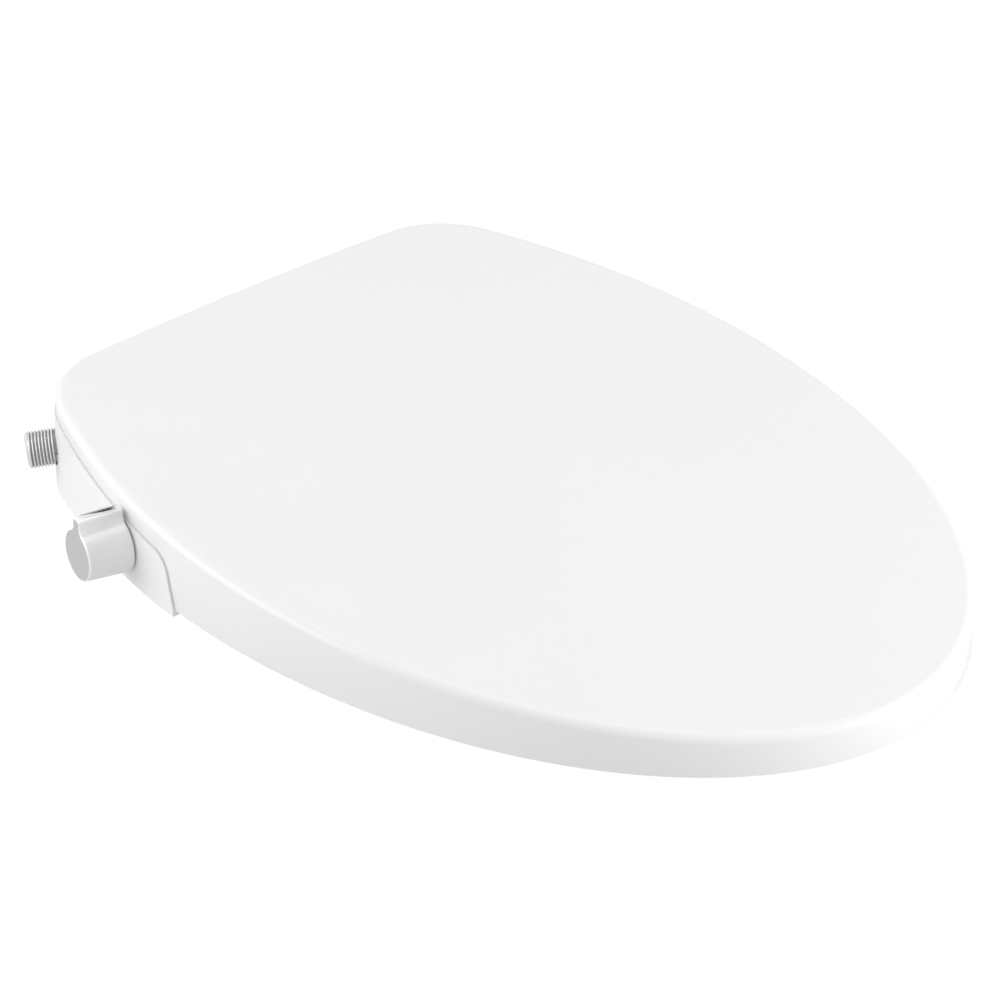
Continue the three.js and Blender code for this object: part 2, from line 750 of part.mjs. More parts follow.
function makePan(hollowOutline) {
  const pocketTop = PLATE_THICKNESS + TOUCH;
  const floor = cut(
    keep(
      loft([
        level(offset(hollowOutline, -TOUCH), BASE_BOTTOM_Z),
        level(offset(hollowOutline, -TOUCH), BASE_BOTTOM_Z + PAN_THICKNESS),
      ]),
      box(-BEYOND, BEYOND, CHEEK_FRONT_Y + BASE_WALL + 3, LID_REAR_Y, -1, 20),
    ),
    frontArc(BASE_WALL + TOUCH),
  );
  const pocket = keep(
    pocketRoom(2.5, pocketTop + PAN_THICKNESS),
    box(-BEYOND, BEYOND, -BEYOND, BEYOND, BASE_BOTTOM_Z, 20),
  );
  let pan = cut(join(floor, pocket), pocketRoom(TOUCH, pocketTop));
  for (const [x, y] of bossPlaces) {
    for (const [, side] of BOTH_SIDES) {
      const well = join(
        rod(SCREW_HEAD_RADIUS + TOUCH, 0, BASE_BOTTOM_Z + 0.9, SCREW_HEAD_RADIUS + TOUCH, 12),
        rod(SCREW_SHANK_RADIUS + TOUCH, 0, 20, SCREW_SHANK_RADIUS + TOUCH, 8),
      );
      pan = cut(pan, well.translate([side * x, y, 0]));
    }
  }
  piece("base_pan", pan, WHITE_HIDDEN);
}

function makeFeetAndScrews() {
  const feet = [
    ["front", 165, -88],
    ["rear", 132, 22],
  ];
  for (const [end, x, y] of feet) {
    for (const [hand, side] of BOTH_SIDES) {
      const foot = rod(FOOT_RADIUS, 0, BASE_BOTTOM_Z - TOUCH, FOOT_RADIUS - 0.4);
      piece(`base_foot_${end}_${hand}`, foot, RUBBER).position.set(side * x, y, 0);
    }
  }
  bossPlaces.forEach(([x, y], row) => {
    for (const [hand, side] of BOTH_SIDES) {
      const screw = join(
        rod(SCREW_HEAD_RADIUS, 0, 0.8, SCREW_HEAD_RADIUS, 12),
        rod(SCREW_SHANK_RADIUS, 0.4, 11.5, SCREW_SHANK_RADIUS, 8),
      );
      const z = BASE_BOTTOM_Z - 0.2;
      piece(`pan_screw_${row + 1}_${hand}`, screw, STEEL).position.set(side * x, y, z);
    }
  });
}

// ---------------------------------------------------------------- mounting plate

function makeMountingPlate() {
  let plate = solid(
    box(-PLATE_HALF_WIDTH, PLATE_HALF_WIDTH, PLATE_FRONT_Y, PLATE_REAR_Y, 0, PLATE_THICKNESS),
  );
  const middle = (PLATE_FRONT_Y + PLATE_REAR_Y) / 2;
  for (const [hand, side] of BOTH_SIDES) {
    const x = (side * BOLT_SPACING) / 2;
    const slot = box(
      x - SLOT_WIDTH / 2,
      x + SLOT_WIDTH / 2,
      middle - SLOT_LENGTH / 2,
      middle + SLOT_LENGTH / 2,
      -1,
      PLATE_THICKNESS + 1,
    );
    plate = cut(plate, slot);
    const block = cut(
      box(
        x - SLOT_WIDTH / 2 + TOUCH,
        x + SLOT_WIDTH / 2 - TOUCH,
        -SLOT_WIDTH / 2,
        SLOT_WIDTH / 2,
        0.2,
        PLATE_THICKNESS - 0.3,
      ),
      rod(BOLT_RADIUS, -1, PLATE_THICKNESS + 1).translate(x, 0, 0),
    );
    piece(`slot_block_${hand}`, block, GREY);
  }
  piece("mounting_plate", plate, GREY);
}

// ---------------------------------------------------------------- hinges

function makeHinges() {
  const bodyLength = TOWER_WIDTH - 4;
  for (const [hand, side] of BOTH_SIDES) {
    // The damper fills the tower and its shaft turns with the lug outside it.
    const damper = join(
      rod(DAMPER_RADIUS, 0, bodyLength),
      rod(HINGE_SHAFT_RADIUS, 0, bodyLength + LUG_GAP + LUG_WIDTH),
    );
    const made = piece(`hinge_damper_${hand}`, damper, GREY);
    made.rotation.y = (side * Math.PI) / 2;
    made.position.set(side * (TOWER_OUTER_X - bodyLength), HINGE_Y, HINGE_Z);

    // The plain pin carries the seat's lug on the tower's inner side.
    const head = join(
      rod(DAMPER_RADIUS, 0, TOWER_WIDTH - bodyLength - TOUCH),
      rod(HINGE_SHAFT_RADIUS, -LUG_GAP - LUG_WIDTH, 1),
    );
    const pin = piece(`hinge_pin_${hand}`, head, STEEL);
    pin.rotation.y = (side * Math.PI) / 2;
    pin.position.set(side * TOWER_INNER_X, HINGE_Y, HINGE_Z);
  }
}

// ---------------------------------------------------------------- knob and valve

function makeKnob() {
  const rim = 1;
  const body = turned([
    [0, KNOB_STANDOFF],
    [KNOB_BASE_RADIUS - 0.6, KNOB_STANDOFF],
    [KNOB_BASE_RADIUS, KNOB_STANDOFF + 0.6],
    [KNOB_FACE_RADIUS + 0.1, KNOB_REACH - 0.6],
    [KNOB_FACE_RADIUS - 0.5, KNOB_REACH],
    [KNOB_CAP_RADIUS + TOUCH, KNOB_REACH],
    [KNOB_CAP_RADIUS + TOUCH, KNOB_REACH - KNOB_CAP_THICKNESS - rim],
    [0, KNOB_REACH - KNOB_CAP_THICKNESS - rim],
  ]);
  const tabRadius = KNOB_TAB_WIDTH / 2;
  const tabShape = new THREE.Shape();
  tabShape.moveTo(-tabRadius, KNOB_FACE_RADIUS - 3);
  tabShape.lineTo(tabRadius, KNOB_FACE_RADIUS - 3);
  tabShape.lineTo(tabRadius, KNOB_TAB_RADIUS - 1.4);
  tabShape.quadraticCurveTo(tabRadius, KNOB_TAB_RADIUS, tabRadius - 1.4, KNOB_TAB_RADIUS);
  tabShape.lineTo(1.4 - tabRadius, KNOB_TAB_RADIUS);
  tabShape.quadraticCurveTo(-tabRadius, KNOB_TAB_RADIUS, -tabRadius, KNOB_TAB_RADIUS - 1.4);
  const tab = cut(
    prism(tabShape, KNOB_STANDOFF, KNOB_REACH),
    rod(KNOB_CAP_RADIUS + TOUCH, KNOB_REACH - KNOB_CAP_THICKNESS - rim, KNOB_REACH + 1),
  );
  const socket = rod(SPINDLE_RADIUS + TOUCH, 0, KNOB_REACH / 2);
  const screwHole = rod(1.8, 0, KNOB_REACH + 2, 1.8, 12);
  const knob = cut(join(body, tab), socket, screwHole);
  piece("knob_body", knob, SILVER, knobFrame);

  const cap = turned([
    [0, 0],
    [KNOB_CAP_RADIUS, 0],
    [KNOB_CAP_RADIUS, KNOB_CAP_THICKNESS - 0.4],
    [KNOB_CAP_RADIUS - 0.4, KNOB_CAP_THICKNESS],
    [0, KNOB_CAP_THICKNESS],
  ]);
  piece("knob_cap", cap, SATIN, knobFrame).position.z = KNOB_REACH - KNOB_CAP_THICKNESS;

  const screw = join(
    rod(2.8, 0, 0.5, 2.8, 12),
    rod(1.5, -9.5, 0.2, 1.5, 12),
  );
  const seatZ = KNOB_REACH - KNOB_CAP_THICKNESS - rim + 0.2;
  piece("knob_screw", screw, STEEL, knobFrame).position.z = seatZ;

  const spindleEnd = KNOB_REACH / 2 - TOUCH;
  const spindle = cut(
    rod(SPINDLE_RADIUS, -VALVE_LENGTH / 2, spindleEnd),
    rod(1.8, spindleEnd - 8, spindleEnd + 1, 1.8, 12),
  );
  piece("valve_spindle", spindle, STEEL, knobFrame);
}

const VALVE_FRONT = -BASE_WALL - 1.6;
const VALVE_REAR = VALVE_FRONT - VALVE_LENGTH;
const PORT_DEPTH = VALVE_FRONT - VALVE_LENGTH / 2;
const PORT_REACH = VALVE_RADIUS + 7;
const OUTLET_SPREAD = 5.4;
const OUTLET_STUB = 7;

function makeValve() {
  let valve = join(
    rod(VALVE_RADIUS, VALVE_REAR, VALVE_FRONT),
    rod(TUBE_RADIUS, 0, PORT_REACH).rotateY(-Math.PI / 2).translate(0, 0, PORT_DEPTH),
  );
  for (const [, side] of BOTH_SIDES) {
    const stub = rod(TUBE_RADIUS, VALVE_REAR - OUTLET_STUB, VALVE_REAR + 1);
    valve = join(valve, stub.translate(0, side * OUTLET_SPREAD, 0));
  }
  const bore = rod(SPINDLE_RADIUS + RUNNING, VALVE_REAR + 4, VALVE_FRONT + 1);
  piece("valve_body", cut(valve, bore), GREY, knobFrame);
}

// ---------------------------------------------------------------- inlet

const INLET_TAIL = 9;

function makeInlet() {
  const end = INLET_REACH;
  const shoulder = -BASE_WALL - 1;
  const nipple = turned(
    [
      [INLET_BORE, -INLET_TAIL],
      [INLET_RADIUS - 2, -INLET_TAIL],
      [INLET_RADIUS - 2, shoulder],
      [INLET_RADIUS, shoulder],
      [INLET_RADIUS, end - INLET_CHAMFER],
      [INLET_RADIUS - INLET_CHAMFER, end],
      [INLET_BORE, end],
      [INLET_BORE, -INLET_TAIL],
    ],
    32,
  );
  piece("inlet_nipple", nipple, NICKEL, inletFrame);
  const screen = rod(INLET_BORE - TOUCH, 6, 7.2);
  piece("inlet_screen", screen, STEEL, inletFrame);
}

// ---------------------------------------------------------------- wands

const CRADLE_FRONT = -4;
const CRADLE_REAR = CRADLE_FRONT - CRADLE_LENGTH;
const CRADLE_RADIUS = CRADLE_BORE + CRADLE_WALL;
const CRADLE_LIP = 3;
const BARB_LENGTH = 7;
const BLOCK_LENGTH = 9;
const BLOCK_HALF_WIDTH = WAND_OFFSET_X + CRADLE_RADIUS - 0.1;
const BARB_SPREAD = 3.9;
const BARB_Z = CRADLE_REAR - BLOCK_LENGTH / 2;
const WAND_TAIL = CRADLE_REAR + 6;
const COLLAR_LENGTH = 3;

function makeCradle() {
  const top = BASE_BOTTOM_Z + PAN_THICKNESS + TOUCH;
  const pocketTop = PLATE_THICKNESS + TOUCH + PAN_THICKNESS + TOUCH;
  let cradle = join(
    box(-16, 16, WAND_FRONT_Y + 12, WAND_FRONT_Y + 20, top, 12),
    box(-16, 16, -14, -6, pocketTop, 24),
  );
  const local = [
    box(-BLOCK_HALF_WIDTH, BLOCK_HALF_WIDTH, -7, 7, CRADLE_REAR - BLOCK_LENGTH, CRADLE_REAR + 1),
  ];
  const rooms = [];
  for (const [, side] of BOTH_SIDES) {
    const x = side * WAND_OFFSET_X;
    const y = side * BARB_SPREAD;
    const barbEnd = -BLOCK_HALF_WIDTH - BARB_LENGTH;
    local.push(rod(CRADLE_RADIUS, CRADLE_REAR, CRADLE_FRONT, CRADLE_RADIUS, 20).translate(x, 0, 0));
    local.push(crossRod(TUBE_RADIUS, barbEnd, 1 - BLOCK_HALF_WIDTH, y, BARB_Z, 12));
    rooms.push(
      rod(CRADLE_BORE, CRADLE_REAR + 3, CRADLE_FRONT - CRADLE_LIP).translate(x, 0, 0),
      rod(WAND_RADIUS + RUNNING, CRADLE_FRONT - CRADLE_LIP - 1, CRADLE_FRONT + 20).translate(x, 0, 0),
      rod(1.4, BARB_Z, CRADLE_REAR + 4, 1.4, 8).translate(x, y, 0),
      crossRod(1.4, barbEnd - 1, x, y, BARB_Z, 8),
    );
  }
  cradle = join(cradle, ...local.map((shape) => inFrame(shape, wandFrame)));
  cradle = cut(cradle, ...rooms.map((shape) => inFrame(shape, wandFrame)));
  piece("wand_cradle", cradle, WHITE_HIDDEN);
}

class CoilCurve extends THREE.Curve {
  constructor(radius, from, to, turns) {
    super();
    Object.assign(this, { radius, from, to, turns });
  }

  getPoint(t, target = new THREE.Vector3()) {
    const turn = t * this.turns * 2 * Math.PI;
    const z = THREE.MathUtils.lerp(this.from, this.to, t);
    return target.set(this.radius * Math.cos(turn), this.radius * Math.sin(turn), z);
  }
}

function makeWand(name, x) {
  const tipStart = WAND_PROUD - WAND_TIP_LENGTH;
  const wand = join(
    rod(WAND_RADIUS, WAND_TAIL, tipStart),
    rod(COLLAR_RADIUS, WAND_TAIL, WAND_TAIL + COLLAR_LENGTH),
  );
  piece(`${name}_wand`, wand, WHITE_HIDDEN, wandFrame).position.x = x;

  const round = 1.6;
  const tip = cut(
    turned([
      [0, tipStart + TOUCH],
      [WAND_RADIUS, tipStart + TOUCH],
      [WAND_RADIUS, WAND_PROUD - round],
      [WAND_RADIUS - round * 0.3, WAND_PROUD - round * 0.3],
      [WAND_RADIUS - round, WAND_PROUD],
      [0, WAND_PROUD],
    ]),
    rod(0.8, 0, WAND_RADIUS + 2, 0.8, 8).rotateX(-Math.PI / 2).translate(0, 0, WAND_PROUD - 5),
  );
  piece(`${name}_wand_tip`, tip, WHITE, wandFrame).position.x = x;

  const coilStart = WAND_TAIL + COLLAR_LENGTH + SPRING_WIRE + TOUCH;
  const coilEnd = CRADLE_FRONT - CRADLE_LIP - SPRING_WIRE - TOUCH;
  const coil = new CoilCurve(SPRING_RADIUS, coilStart, coilEnd, SPRING_TURNS);
  const spring = hose(coil, SPRING_WIRE, SPRING_TURNS * 8, 3);
  piece(`${name}_wand_spring`, spring, STEEL, wandFrame).position.x = x;
}

// ---------------------------------------------------------------- gate

function gateAxisY() {
  return WAND_FRONT_Y - GATE_STANDOFF;
}

function makeGate() {
  const y = gateAxisY();
  const half = GATE_HALF_WIDTH;
  const gate = join(
    crossRod(GATE_BARREL_RADIUS, -half, half, y, GATE_TOP_Z, 16),
    crossRod(GATE_PIN_RADIUS, -half - 3.5, half + 3.5, y, GATE_TOP_Z, 12),
    box(-half, half, y - GATE_THICKNESS / 2, y + GATE_THICKNESS / 2, GATE_BOTTOM_Z, GATE_TOP_Z),
  );
  piece("wand_gate", gate, WHITE_HIDDEN);
}

// ---------------------------------------------------------------- hoses

function worldPoint(frame, x, y, z) {
  return new THREE.Vector3(x, y, z).applyMatrix4(frame.matrixWorld);
}

// A hose between two stubs: it leaves each one straight and bends between the via points.
function routedHose(name, start, startWay, end, endWay, via) {
  const lead = 8;
  const points = [
    start,
    start.clone().addScaledVector(startWay, lead),
    ...via,
    end.clone().addScaledVector(endWay, lead),
    end,
  ];
  const curve = new THREE.CatmullRomCurve3(points, false, "centripetal");
  piece(name, hose(curve, TUBE_RADIUS - 0.4, 26), HOSE);
}

function direction(frame, x, y, z) {
  return new THREE.Vector3(x, y, z).transformDirection(frame.matrixWorld);
}

function makeHoses() {
  const inletEnd = worldPoint(inletFrame, 0, 0, -INLET_TAIL - TOUCH);
  const inletWay = direction(inletFrame, 0, 0, -1);
  const portEnd = worldPoint(knobFrame, -PORT_REACH - TOUCH, 0, PORT_DEPTH);
  const portWay = direction(knobFrame, -1, 0, 0);
  routedHose("supply_hose", inletEnd, inletWay, portEnd, portWay, []);

  for (const [name, side] of [
    ["front_wash_hose", 1],
    ["rear_wash_hose", -1],
  ]) {
    const start = worldPoint(
      knobFrame,
      0,
      side * OUTLET_SPREAD,
      VALVE_REAR - OUTLET_STUB - TOUCH,
    );
    const barbEnd = -BLOCK_HALF_WIDTH - BARB_LENGTH - TOUCH;
    const end = worldPoint(wandFrame, barbEnd, side * BARB_SPREAD, BARB_Z);
    const via = [
      new THREE.Vector3(-98, -66, KNOB_Z + side * OUTLET_SPREAD * 0.8),
      new THREE.Vector3(-56, -8, end.z - 2),
    ];
    const startWay = direction(knobFrame, 0, 0, -1);
    routedHose(name, start, startWay, end, direction(wandFrame, -1, 0, 0), via);
  }
}

// ---------------------------------------------------------------- release button

function makeButton() {
  const inner = BUTTON_PROUD - BUTTON_LENGTH;
  const stem = BUTTON_RADIUS - 3;
  const button = turned([
    [0, inner - 8],
    [stem, inner - 8],
    [stem, inner],
    [BUTTON_RADIUS + 2, inner],
    [BUTTON_RADIUS + 2, inner + 2],
    [BUTTON_RADIUS, inner + 2],
    [BUTTON_RADIUS, BUTTON_PROUD - 1],
    [BUTTON_RADIUS - 1, BUTTON_PROUD],
    [0, BUTTON_PROUD],
  ]);
  piece("release_button", button, WHITE, buttonFrame);
  const coil = new CoilCurve(stem + 1.6, inner - 11, inner - 1, 4);
  piece("release_spring", hose(coil, 0.5, 32, 3), STEEL, buttonFrame);
  const stopZ = inner - 12;
  const panTop = BASE_BOTTOM_Z + PAN_THICKNESS + TOUCH;
  const stop = cut(
    join(rod(stem + 3.5, stopZ - 2, stopZ), box(-4, 4, panTop - BUTTON_Z, -stem, stopZ - 2, stopZ)),
    rod(stem + 0.5, stopZ - 3, stopZ + 1),
  );
  piece("release_guide", stop, GREY, buttonFrame);
}

makeLid();
makeSeat();
makeHousing();
makeMountingPlate();
makeHinges();
makeKnob();
makeValve();
makeInlet();
makeCradle();
makeWand("rear", -WAND_OFFSET_X);
makeWand("front", WAND_OFFSET_X);
makeGate();
makeHoses();
makeButton();

export default bidetSeat;
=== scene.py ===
"""Slim bidet seat with a hand valve: the visual model, laid out as a Blender add-on."""

import json
import math

import bpy
import bmesh
from mathutils import Matrix, Vector


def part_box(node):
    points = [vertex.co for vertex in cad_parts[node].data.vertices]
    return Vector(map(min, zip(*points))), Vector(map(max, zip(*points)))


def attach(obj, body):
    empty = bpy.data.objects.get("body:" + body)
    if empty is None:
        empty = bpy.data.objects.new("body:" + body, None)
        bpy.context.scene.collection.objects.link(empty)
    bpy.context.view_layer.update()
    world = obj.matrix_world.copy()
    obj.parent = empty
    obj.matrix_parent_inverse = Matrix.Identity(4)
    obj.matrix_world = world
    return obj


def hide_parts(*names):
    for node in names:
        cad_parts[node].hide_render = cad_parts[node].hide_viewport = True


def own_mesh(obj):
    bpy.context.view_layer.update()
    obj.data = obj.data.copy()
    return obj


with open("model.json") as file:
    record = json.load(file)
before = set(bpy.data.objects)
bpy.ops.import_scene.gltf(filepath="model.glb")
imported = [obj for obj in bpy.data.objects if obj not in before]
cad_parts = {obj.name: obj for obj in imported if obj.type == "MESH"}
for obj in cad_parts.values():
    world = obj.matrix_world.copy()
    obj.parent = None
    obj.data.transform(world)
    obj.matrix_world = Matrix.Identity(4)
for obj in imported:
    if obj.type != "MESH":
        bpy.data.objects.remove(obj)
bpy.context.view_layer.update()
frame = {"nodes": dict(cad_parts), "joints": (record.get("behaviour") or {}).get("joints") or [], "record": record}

bl_info = {
    "name": "Bidet seat",
    "version": (1, 0, 0),
    "blender": (4, 5, 0),
    "location": "3D View > Sidebar > Bidet Seat",
    "description": "Builds the lid, ring, housing, knob, inlet and wands of a slim bidet seat",
    "category": "Object",
}

LID_LOW, LID_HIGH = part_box("lid_shell")
SIDES = (("left", 1), ("right", -1))


def joint(name):
    """The frame's joint of that name."""
    return next(j for j in frame["joints"] if j["name"] == name)


HINGE = Vector(joint("seat_hinge")["pos_m"])
KNOB_PLACE = Vector(joint("knob_turn")["pos_m"])
KNOB_AXIS = Vector(joint("knob_turn")["axis"])
WAND_AXIS = Vector(joint("rear_wand_slide")["axis"])
GATE_PLACE = Vector(joint("gate_hinge")["pos_m"])
BUTTON_AXIS = -Vector(joint("release_press")["axis"])
INLET_MOUNT = next(m for m in frame["record"]["mounts"] if m["name"] == "inlet_face")
INLET_AXIS = Vector(INLET_MOUNT["axis"])


def length(name, description, value, top=1.0):
    """A length in metres that a user may change."""
    return bpy.props.FloatProperty(
        name=name, description=description, default=value, min=0.0, max=top,
        unit="LENGTH", subtype="DISTANCE", precision=5,
    )


def tint(name, description, value):
    """A colour that a user may change."""
    return bpy.props.FloatVectorProperty(
        name=name, description=description, default=value, size=4, min=0.0, max=1.0,
        subtype="COLOR",
    )


# ------------------------------------------------------------------ settings


class BIDET_PG_shell(bpy.types.PropertyGroup):
    """Sizes of the lid, the ring and the housing."""

    widest_y: bpy.props.FloatProperty(
        name="Widest place", description="Where along Y the lid is widest",
        default=-0.159, unit="LENGTH", subtype="DISTANCE",
    )
    rear_half_width: length("Rear half width", "Where the flanks would meet the rear edge", 0.14)
    corner_radius: length("Corner radius", "Radius of the two rear corners", 0.0555)
    rear_bow: length("Rear bow", "How far the rear edge bows out", 0.002)
    top_rear: length("Rear height", "Height of the lid's top at the rear edge", 0.0581)
    top_nose: length("Nose height", "Height of the lid's top at the nose", 0.0268)
    wall: length("Lid wall", "Thickness of the lid's wall", 0.003)
    edge_radius: length("Edge radius", "Radius round the lid's top edge", 0.005)
    soft_edge: length("Soft edge", "Radius on the small edges of the shells", 0.0005)
    parting_rear: length("Parting height, rear", "Height of the parting line at the rear", 0.0455)
    parting_knee: length("Parting height, knee", "Height of the parting line at its knee", 0.0348)
    parting_gap: length("Parting gap", "Gap between the lid's edge and the housing", 0.0005)
    seat_gap: length("Seat gap", "Gap between the ring and the lid's inner face", 0.0035)


class BIDET_PG_knob(bpy.types.PropertyGroup):
    """Sizes of the valve knob."""

    base_radius: length("Base radius", "Radius of the knob beside the housing", 0.0159)
    face_radius: length("Face radius", "Radius of the knob at its face", 0.0145)
    tab_width: length("Tab width", "Width of the raised pointer", 0.007)
    tab_radius: length("Tab radius", "How far the pointer's top is from the axis", 0.0222)
    # The rim is a chamfer; knob_silver also paints a highlight band along it at this width.
    rim: length("Rim", "Width of the bright rim round the face", 0.0008)


class BIDET_PG_inlet(bpy.types.PropertyGroup):
    """Sizes of the threaded inlet."""

    pitch: length("Pitch", "Distance from one crest of the thread to the next", 0.001814)
    crest_radius: length("Crest radius", "Radius over the thread's crests", 0.01045)
    thread_depth: length("Thread depth", "Depth of the thread's grooves", 0.00116)
    bore: length("Bore", "Radius of the water way", 0.0068)


class BIDET_PG_finish(bpy.types.PropertyGroup):
    """Colours of the finishes."""

    white: tint("Shell white", "White of the lid, ring and housing", (0.9, 0.9, 0.897, 1.0))
    inner_white: tint("Inner white", "White of the hidden pieces", (0.7, 0.71, 0.71, 1.0))
    silver: tint("Knob silver", "Satin silver of the knob's side", (0.88, 0.885, 0.89, 1.0))
    face: tint("Knob face", "Grey of the knob's face", (0.58, 0.585, 0.59, 1.0))
    nickel: tint("Nickel", "Nickel plating of the inlet", (0.86, 0.86, 0.855, 1.0))
    steel: tint("Steel", "Steel of the pins, screws and springs", (0.56, 0.57, 0.58, 1.0))
    grey: tint("Grey plastic", "Grey of the plate, dampers and valve", (0.26, 0.275, 0.29, 1.0))
    rubber: tint("Rubber", "Pale grey rubber of the bumpers", (0.5, 0.51, 0.515, 1.0))
    tube: tint("Hose", "Milky plastic of the hoses", (0.72, 0.75, 0.76, 1.0))


SETTINGS = {
    "bidet_shell": BIDET_PG_shell,
    "bidet_knob": BIDET_PG_knob,
    "bidet_inlet": BIDET_PG_inlet,
    "bidet_finish": BIDET_PG_finish,
}


# ------------------------------------------------------------------ materials


def shader(name, color, roughness, metallic=0.0, **sockets):
    """A principled material with its fixed values, and the two nodes that details join."""
    made = bpy.data.materials.new(name)
    made.use_nodes = True
    nodes = made.node_tree.nodes
    principled = nodes["Principled BSDF"]
    principled.inputs["Base Color"].default_value = color
    principled.inputs["Roughness"].default_value = roughness
    principled.inputs["Metallic"].default_value = metallic
    for socket, value in sockets.items():
        principled.inputs[socket.replace("_", " ")].default_value = value
    return made, principled


def node(tree, kind, **values):
    """A node with its properties and inputs set by name."""
    made = tree.nodes.new(kind)
    for name, value in values.items():
        if name in made.inputs:
            made.inputs[name].default_value = value
        else:
            setattr(made, name, value)
    return made


def noise(tree, scale, detail=2.0, stretch=(1, 1, 1), turn=(0, 0, 0), place=(0, 0, 0)):
    """Noise on Object coordinates, moved, turned and stretched by a Mapping node."""
    where = node(tree, "ShaderNodeTexCoord")
    mapping = node(tree, "ShaderNodeMapping")
    mapping.inputs["Location"].default_value = place
    mapping.inputs["Rotation"].default_value = turn
    mapping.inputs["Scale"].default_value = stretch
    grain = node(tree, "ShaderNodeTexNoise", Scale=scale, Detail=detail)
    tree.links.new(where.outputs["Object"], mapping.inputs["Vector"])
    tree.links.new(mapping.outputs["Vector"], grain.inputs["Vector"])
    return grain.outputs["Fac"]


def spread(tree, factor, low, high):
    """A factor from 0 to 1 as a number from low to high."""
    ranged = node(tree, "ShaderNodeMapRange")
    ranged.inputs["From Min"].default_value = 0.3
    ranged.inputs["From Max"].default_value = 0.7
    ranged.inputs["To Min"].default_value = low
    ranged.inputs["To Max"].default_value = high
    tree.links.new(factor, ranged.inputs["Value"])
    return ranged.outputs["Result"]


def shade_colour(tree, factor, principled, color, darker):
    """Varies the base colour between the colour and a darker share of it."""
    mix = node(tree, "ShaderNodeMix", data_type="RGBA")
    mix.inputs["A"].default_value = [c * darker for c in color[:3]] + [1.0]
    mix.inputs["B"].default_value = list(color)
    tree.links.new(factor, mix.inputs["Factor"])
    tree.links.new(mix.outputs["Result"], principled.inputs["Base Color"])


def bump(tree, principled, height, strength, distance):
    """A fine relief on the surface."""
    relief = node(tree, "ShaderNodeBump", Strength=strength, Distance=distance)
    tree.links.new(height, relief.inputs["Height"])
    tree.links.new(relief.outputs["Normal"], principled.inputs["Normal"])


def moulded(name, color, low, high, grain, strength, darker=0.985, **sockets):
    """Moulded plastic or rubber: faint flow marks, uneven gloss and a fine skin."""
    made, principled = shader(name, color, (low + high) / 2, **sockets)
    tree = made.node_tree
    flow = noise(tree, 14, 3)
    shade_colour(tree, flow, principled, color, darker)
    gloss = spread(tree, noise(tree, 55, 4, place=(3, 1, 2)), low, high)
    tree.links.new(gloss, principled.inputs["Roughness"])
    bump(tree, principled, noise(tree, grain, 2), strength, 0.0002)
    return made


def plated(name, color, low, high, **sockets):
    """Plated or bare metal with fine uneven gloss."""
    made, principled = shader(name, color, (low + high) / 2, metallic=1.0, **sockets)
    tree = made.node_tree
    shade_colour(tree, noise(tree, 120, 3), principled, color, 0.94)
    gloss = spread(tree, noise(tree, 400, 3, place=(1, 4, 2)), low, high)
    tree.links.new(gloss, principled.inputs["Roughness"])
    bump(tree, principled, noise(tree, 2600, 2), 0.03, 0.0001)
    return made


def spun_face(name, color):
    """The knob's face: satin metal with fine rings left by turning, centred on its axis."""
    made, principled = shader(name, color, 0.38, metallic=0.35)
    tree = made.node_tree
    lie = knob_matrix().inverted()
    where = node(tree, "ShaderNodeTexCoord")
    mapping = node(tree, "ShaderNodeMapping")
    mapping.inputs["Rotation"].default_value = lie.to_euler()
    mapping.inputs["Location"].default_value = lie.to_translation()
    rings = node(
        tree, "ShaderNodeTexWave",
        wave_type="RINGS", rings_direction="Z", Scale=420.0, Distortion=0.6, Detail=2.0,
    )
    tree.links.new(where.outputs["Object"], mapping.inputs["Vector"])
    tree.links.new(mapping.outputs["Vector"], rings.inputs["Vector"])
    tree.links.new(spread(tree, rings.outputs["Fac"], 0.34, 0.42), principled.inputs["Roughness"])
    shade_colour(tree, rings.outputs["Fac"], principled, color, 0.985)
    bump(tree, principled, rings.outputs["Fac"], 0.05, 0.00005)
    return made


def threaded(name, color):
    """Nickel plating with painted shade down in the thread's grooves."""
    s = bpy.context.scene.bidet_inlet
    made, principled = shader(name, color, 0.3, metallic=0.55)
    tree = made.node_tree
    where = node(tree, "ShaderNodeTexCoord")
    mapping = node(tree, "ShaderNodeMapping")
    lie = inlet_matrix().inverted()
    mapping.inputs["Rotation"].default_value = lie.to_euler()
    mapping.inputs["Location"].default_value = lie.to_translation()
    split = node(tree, "ShaderNodeSeparateXYZ")
    flat = node(tree, "ShaderNodeCombineXYZ")
    reach = node(tree, "ShaderNodeVectorMath", operation="LENGTH")
    depth = node(tree, "ShaderNodeMapRange")
    depth.inputs["From Min"].default_value = s.crest_radius - s.thread_depth * 0.95
    depth.inputs["From Max"].default_value = s.crest_radius - s.thread_depth * 0.3
    tree.links.new(where.outputs["Object"], mapping.inputs["Vector"])
    tree.links.new(mapping.outputs["Vector"], split.inputs["Vector"])
    tree.links.new(split.outputs["X"], flat.inputs["X"])
    tree.links.new(split.outputs["Y"], flat.inputs["Y"])
    tree.links.new(flat.outputs["Vector"], reach.inputs[0])
    tree.links.new(reach.outputs["Value"], depth.inputs["Value"])
    # The plain chamfered end gets no painted groove shade and keeps the nickel's colour.
    mouth = node(tree, "ShaderNodeMapRange")
    mouth.inputs["From Min"].default_value = -0.0021
    mouth.inputs["From Max"].default_value = -0.0017
    tree.links.new(split.outputs["Z"], mouth.inputs["Value"])
    unshaded = node(tree, "ShaderNodeMath", operation="MAXIMUM")
    tree.links.new(depth.outputs["Result"], unshaded.inputs[0])
    tree.links.new(mouth.outputs["Result"], unshaded.inputs[1])
    # Painted shade: the base colour falls to 0.4 of the nickel's towards the thread's root.
    shade_colour(tree, unshaded.outputs["Value"], principled, color, 0.4)
    gloss = spread(tree, noise(tree, 500, 3), 0.26, 0.34)
    tree.links.new(gloss, principled.inputs["Roughness"])
    return made


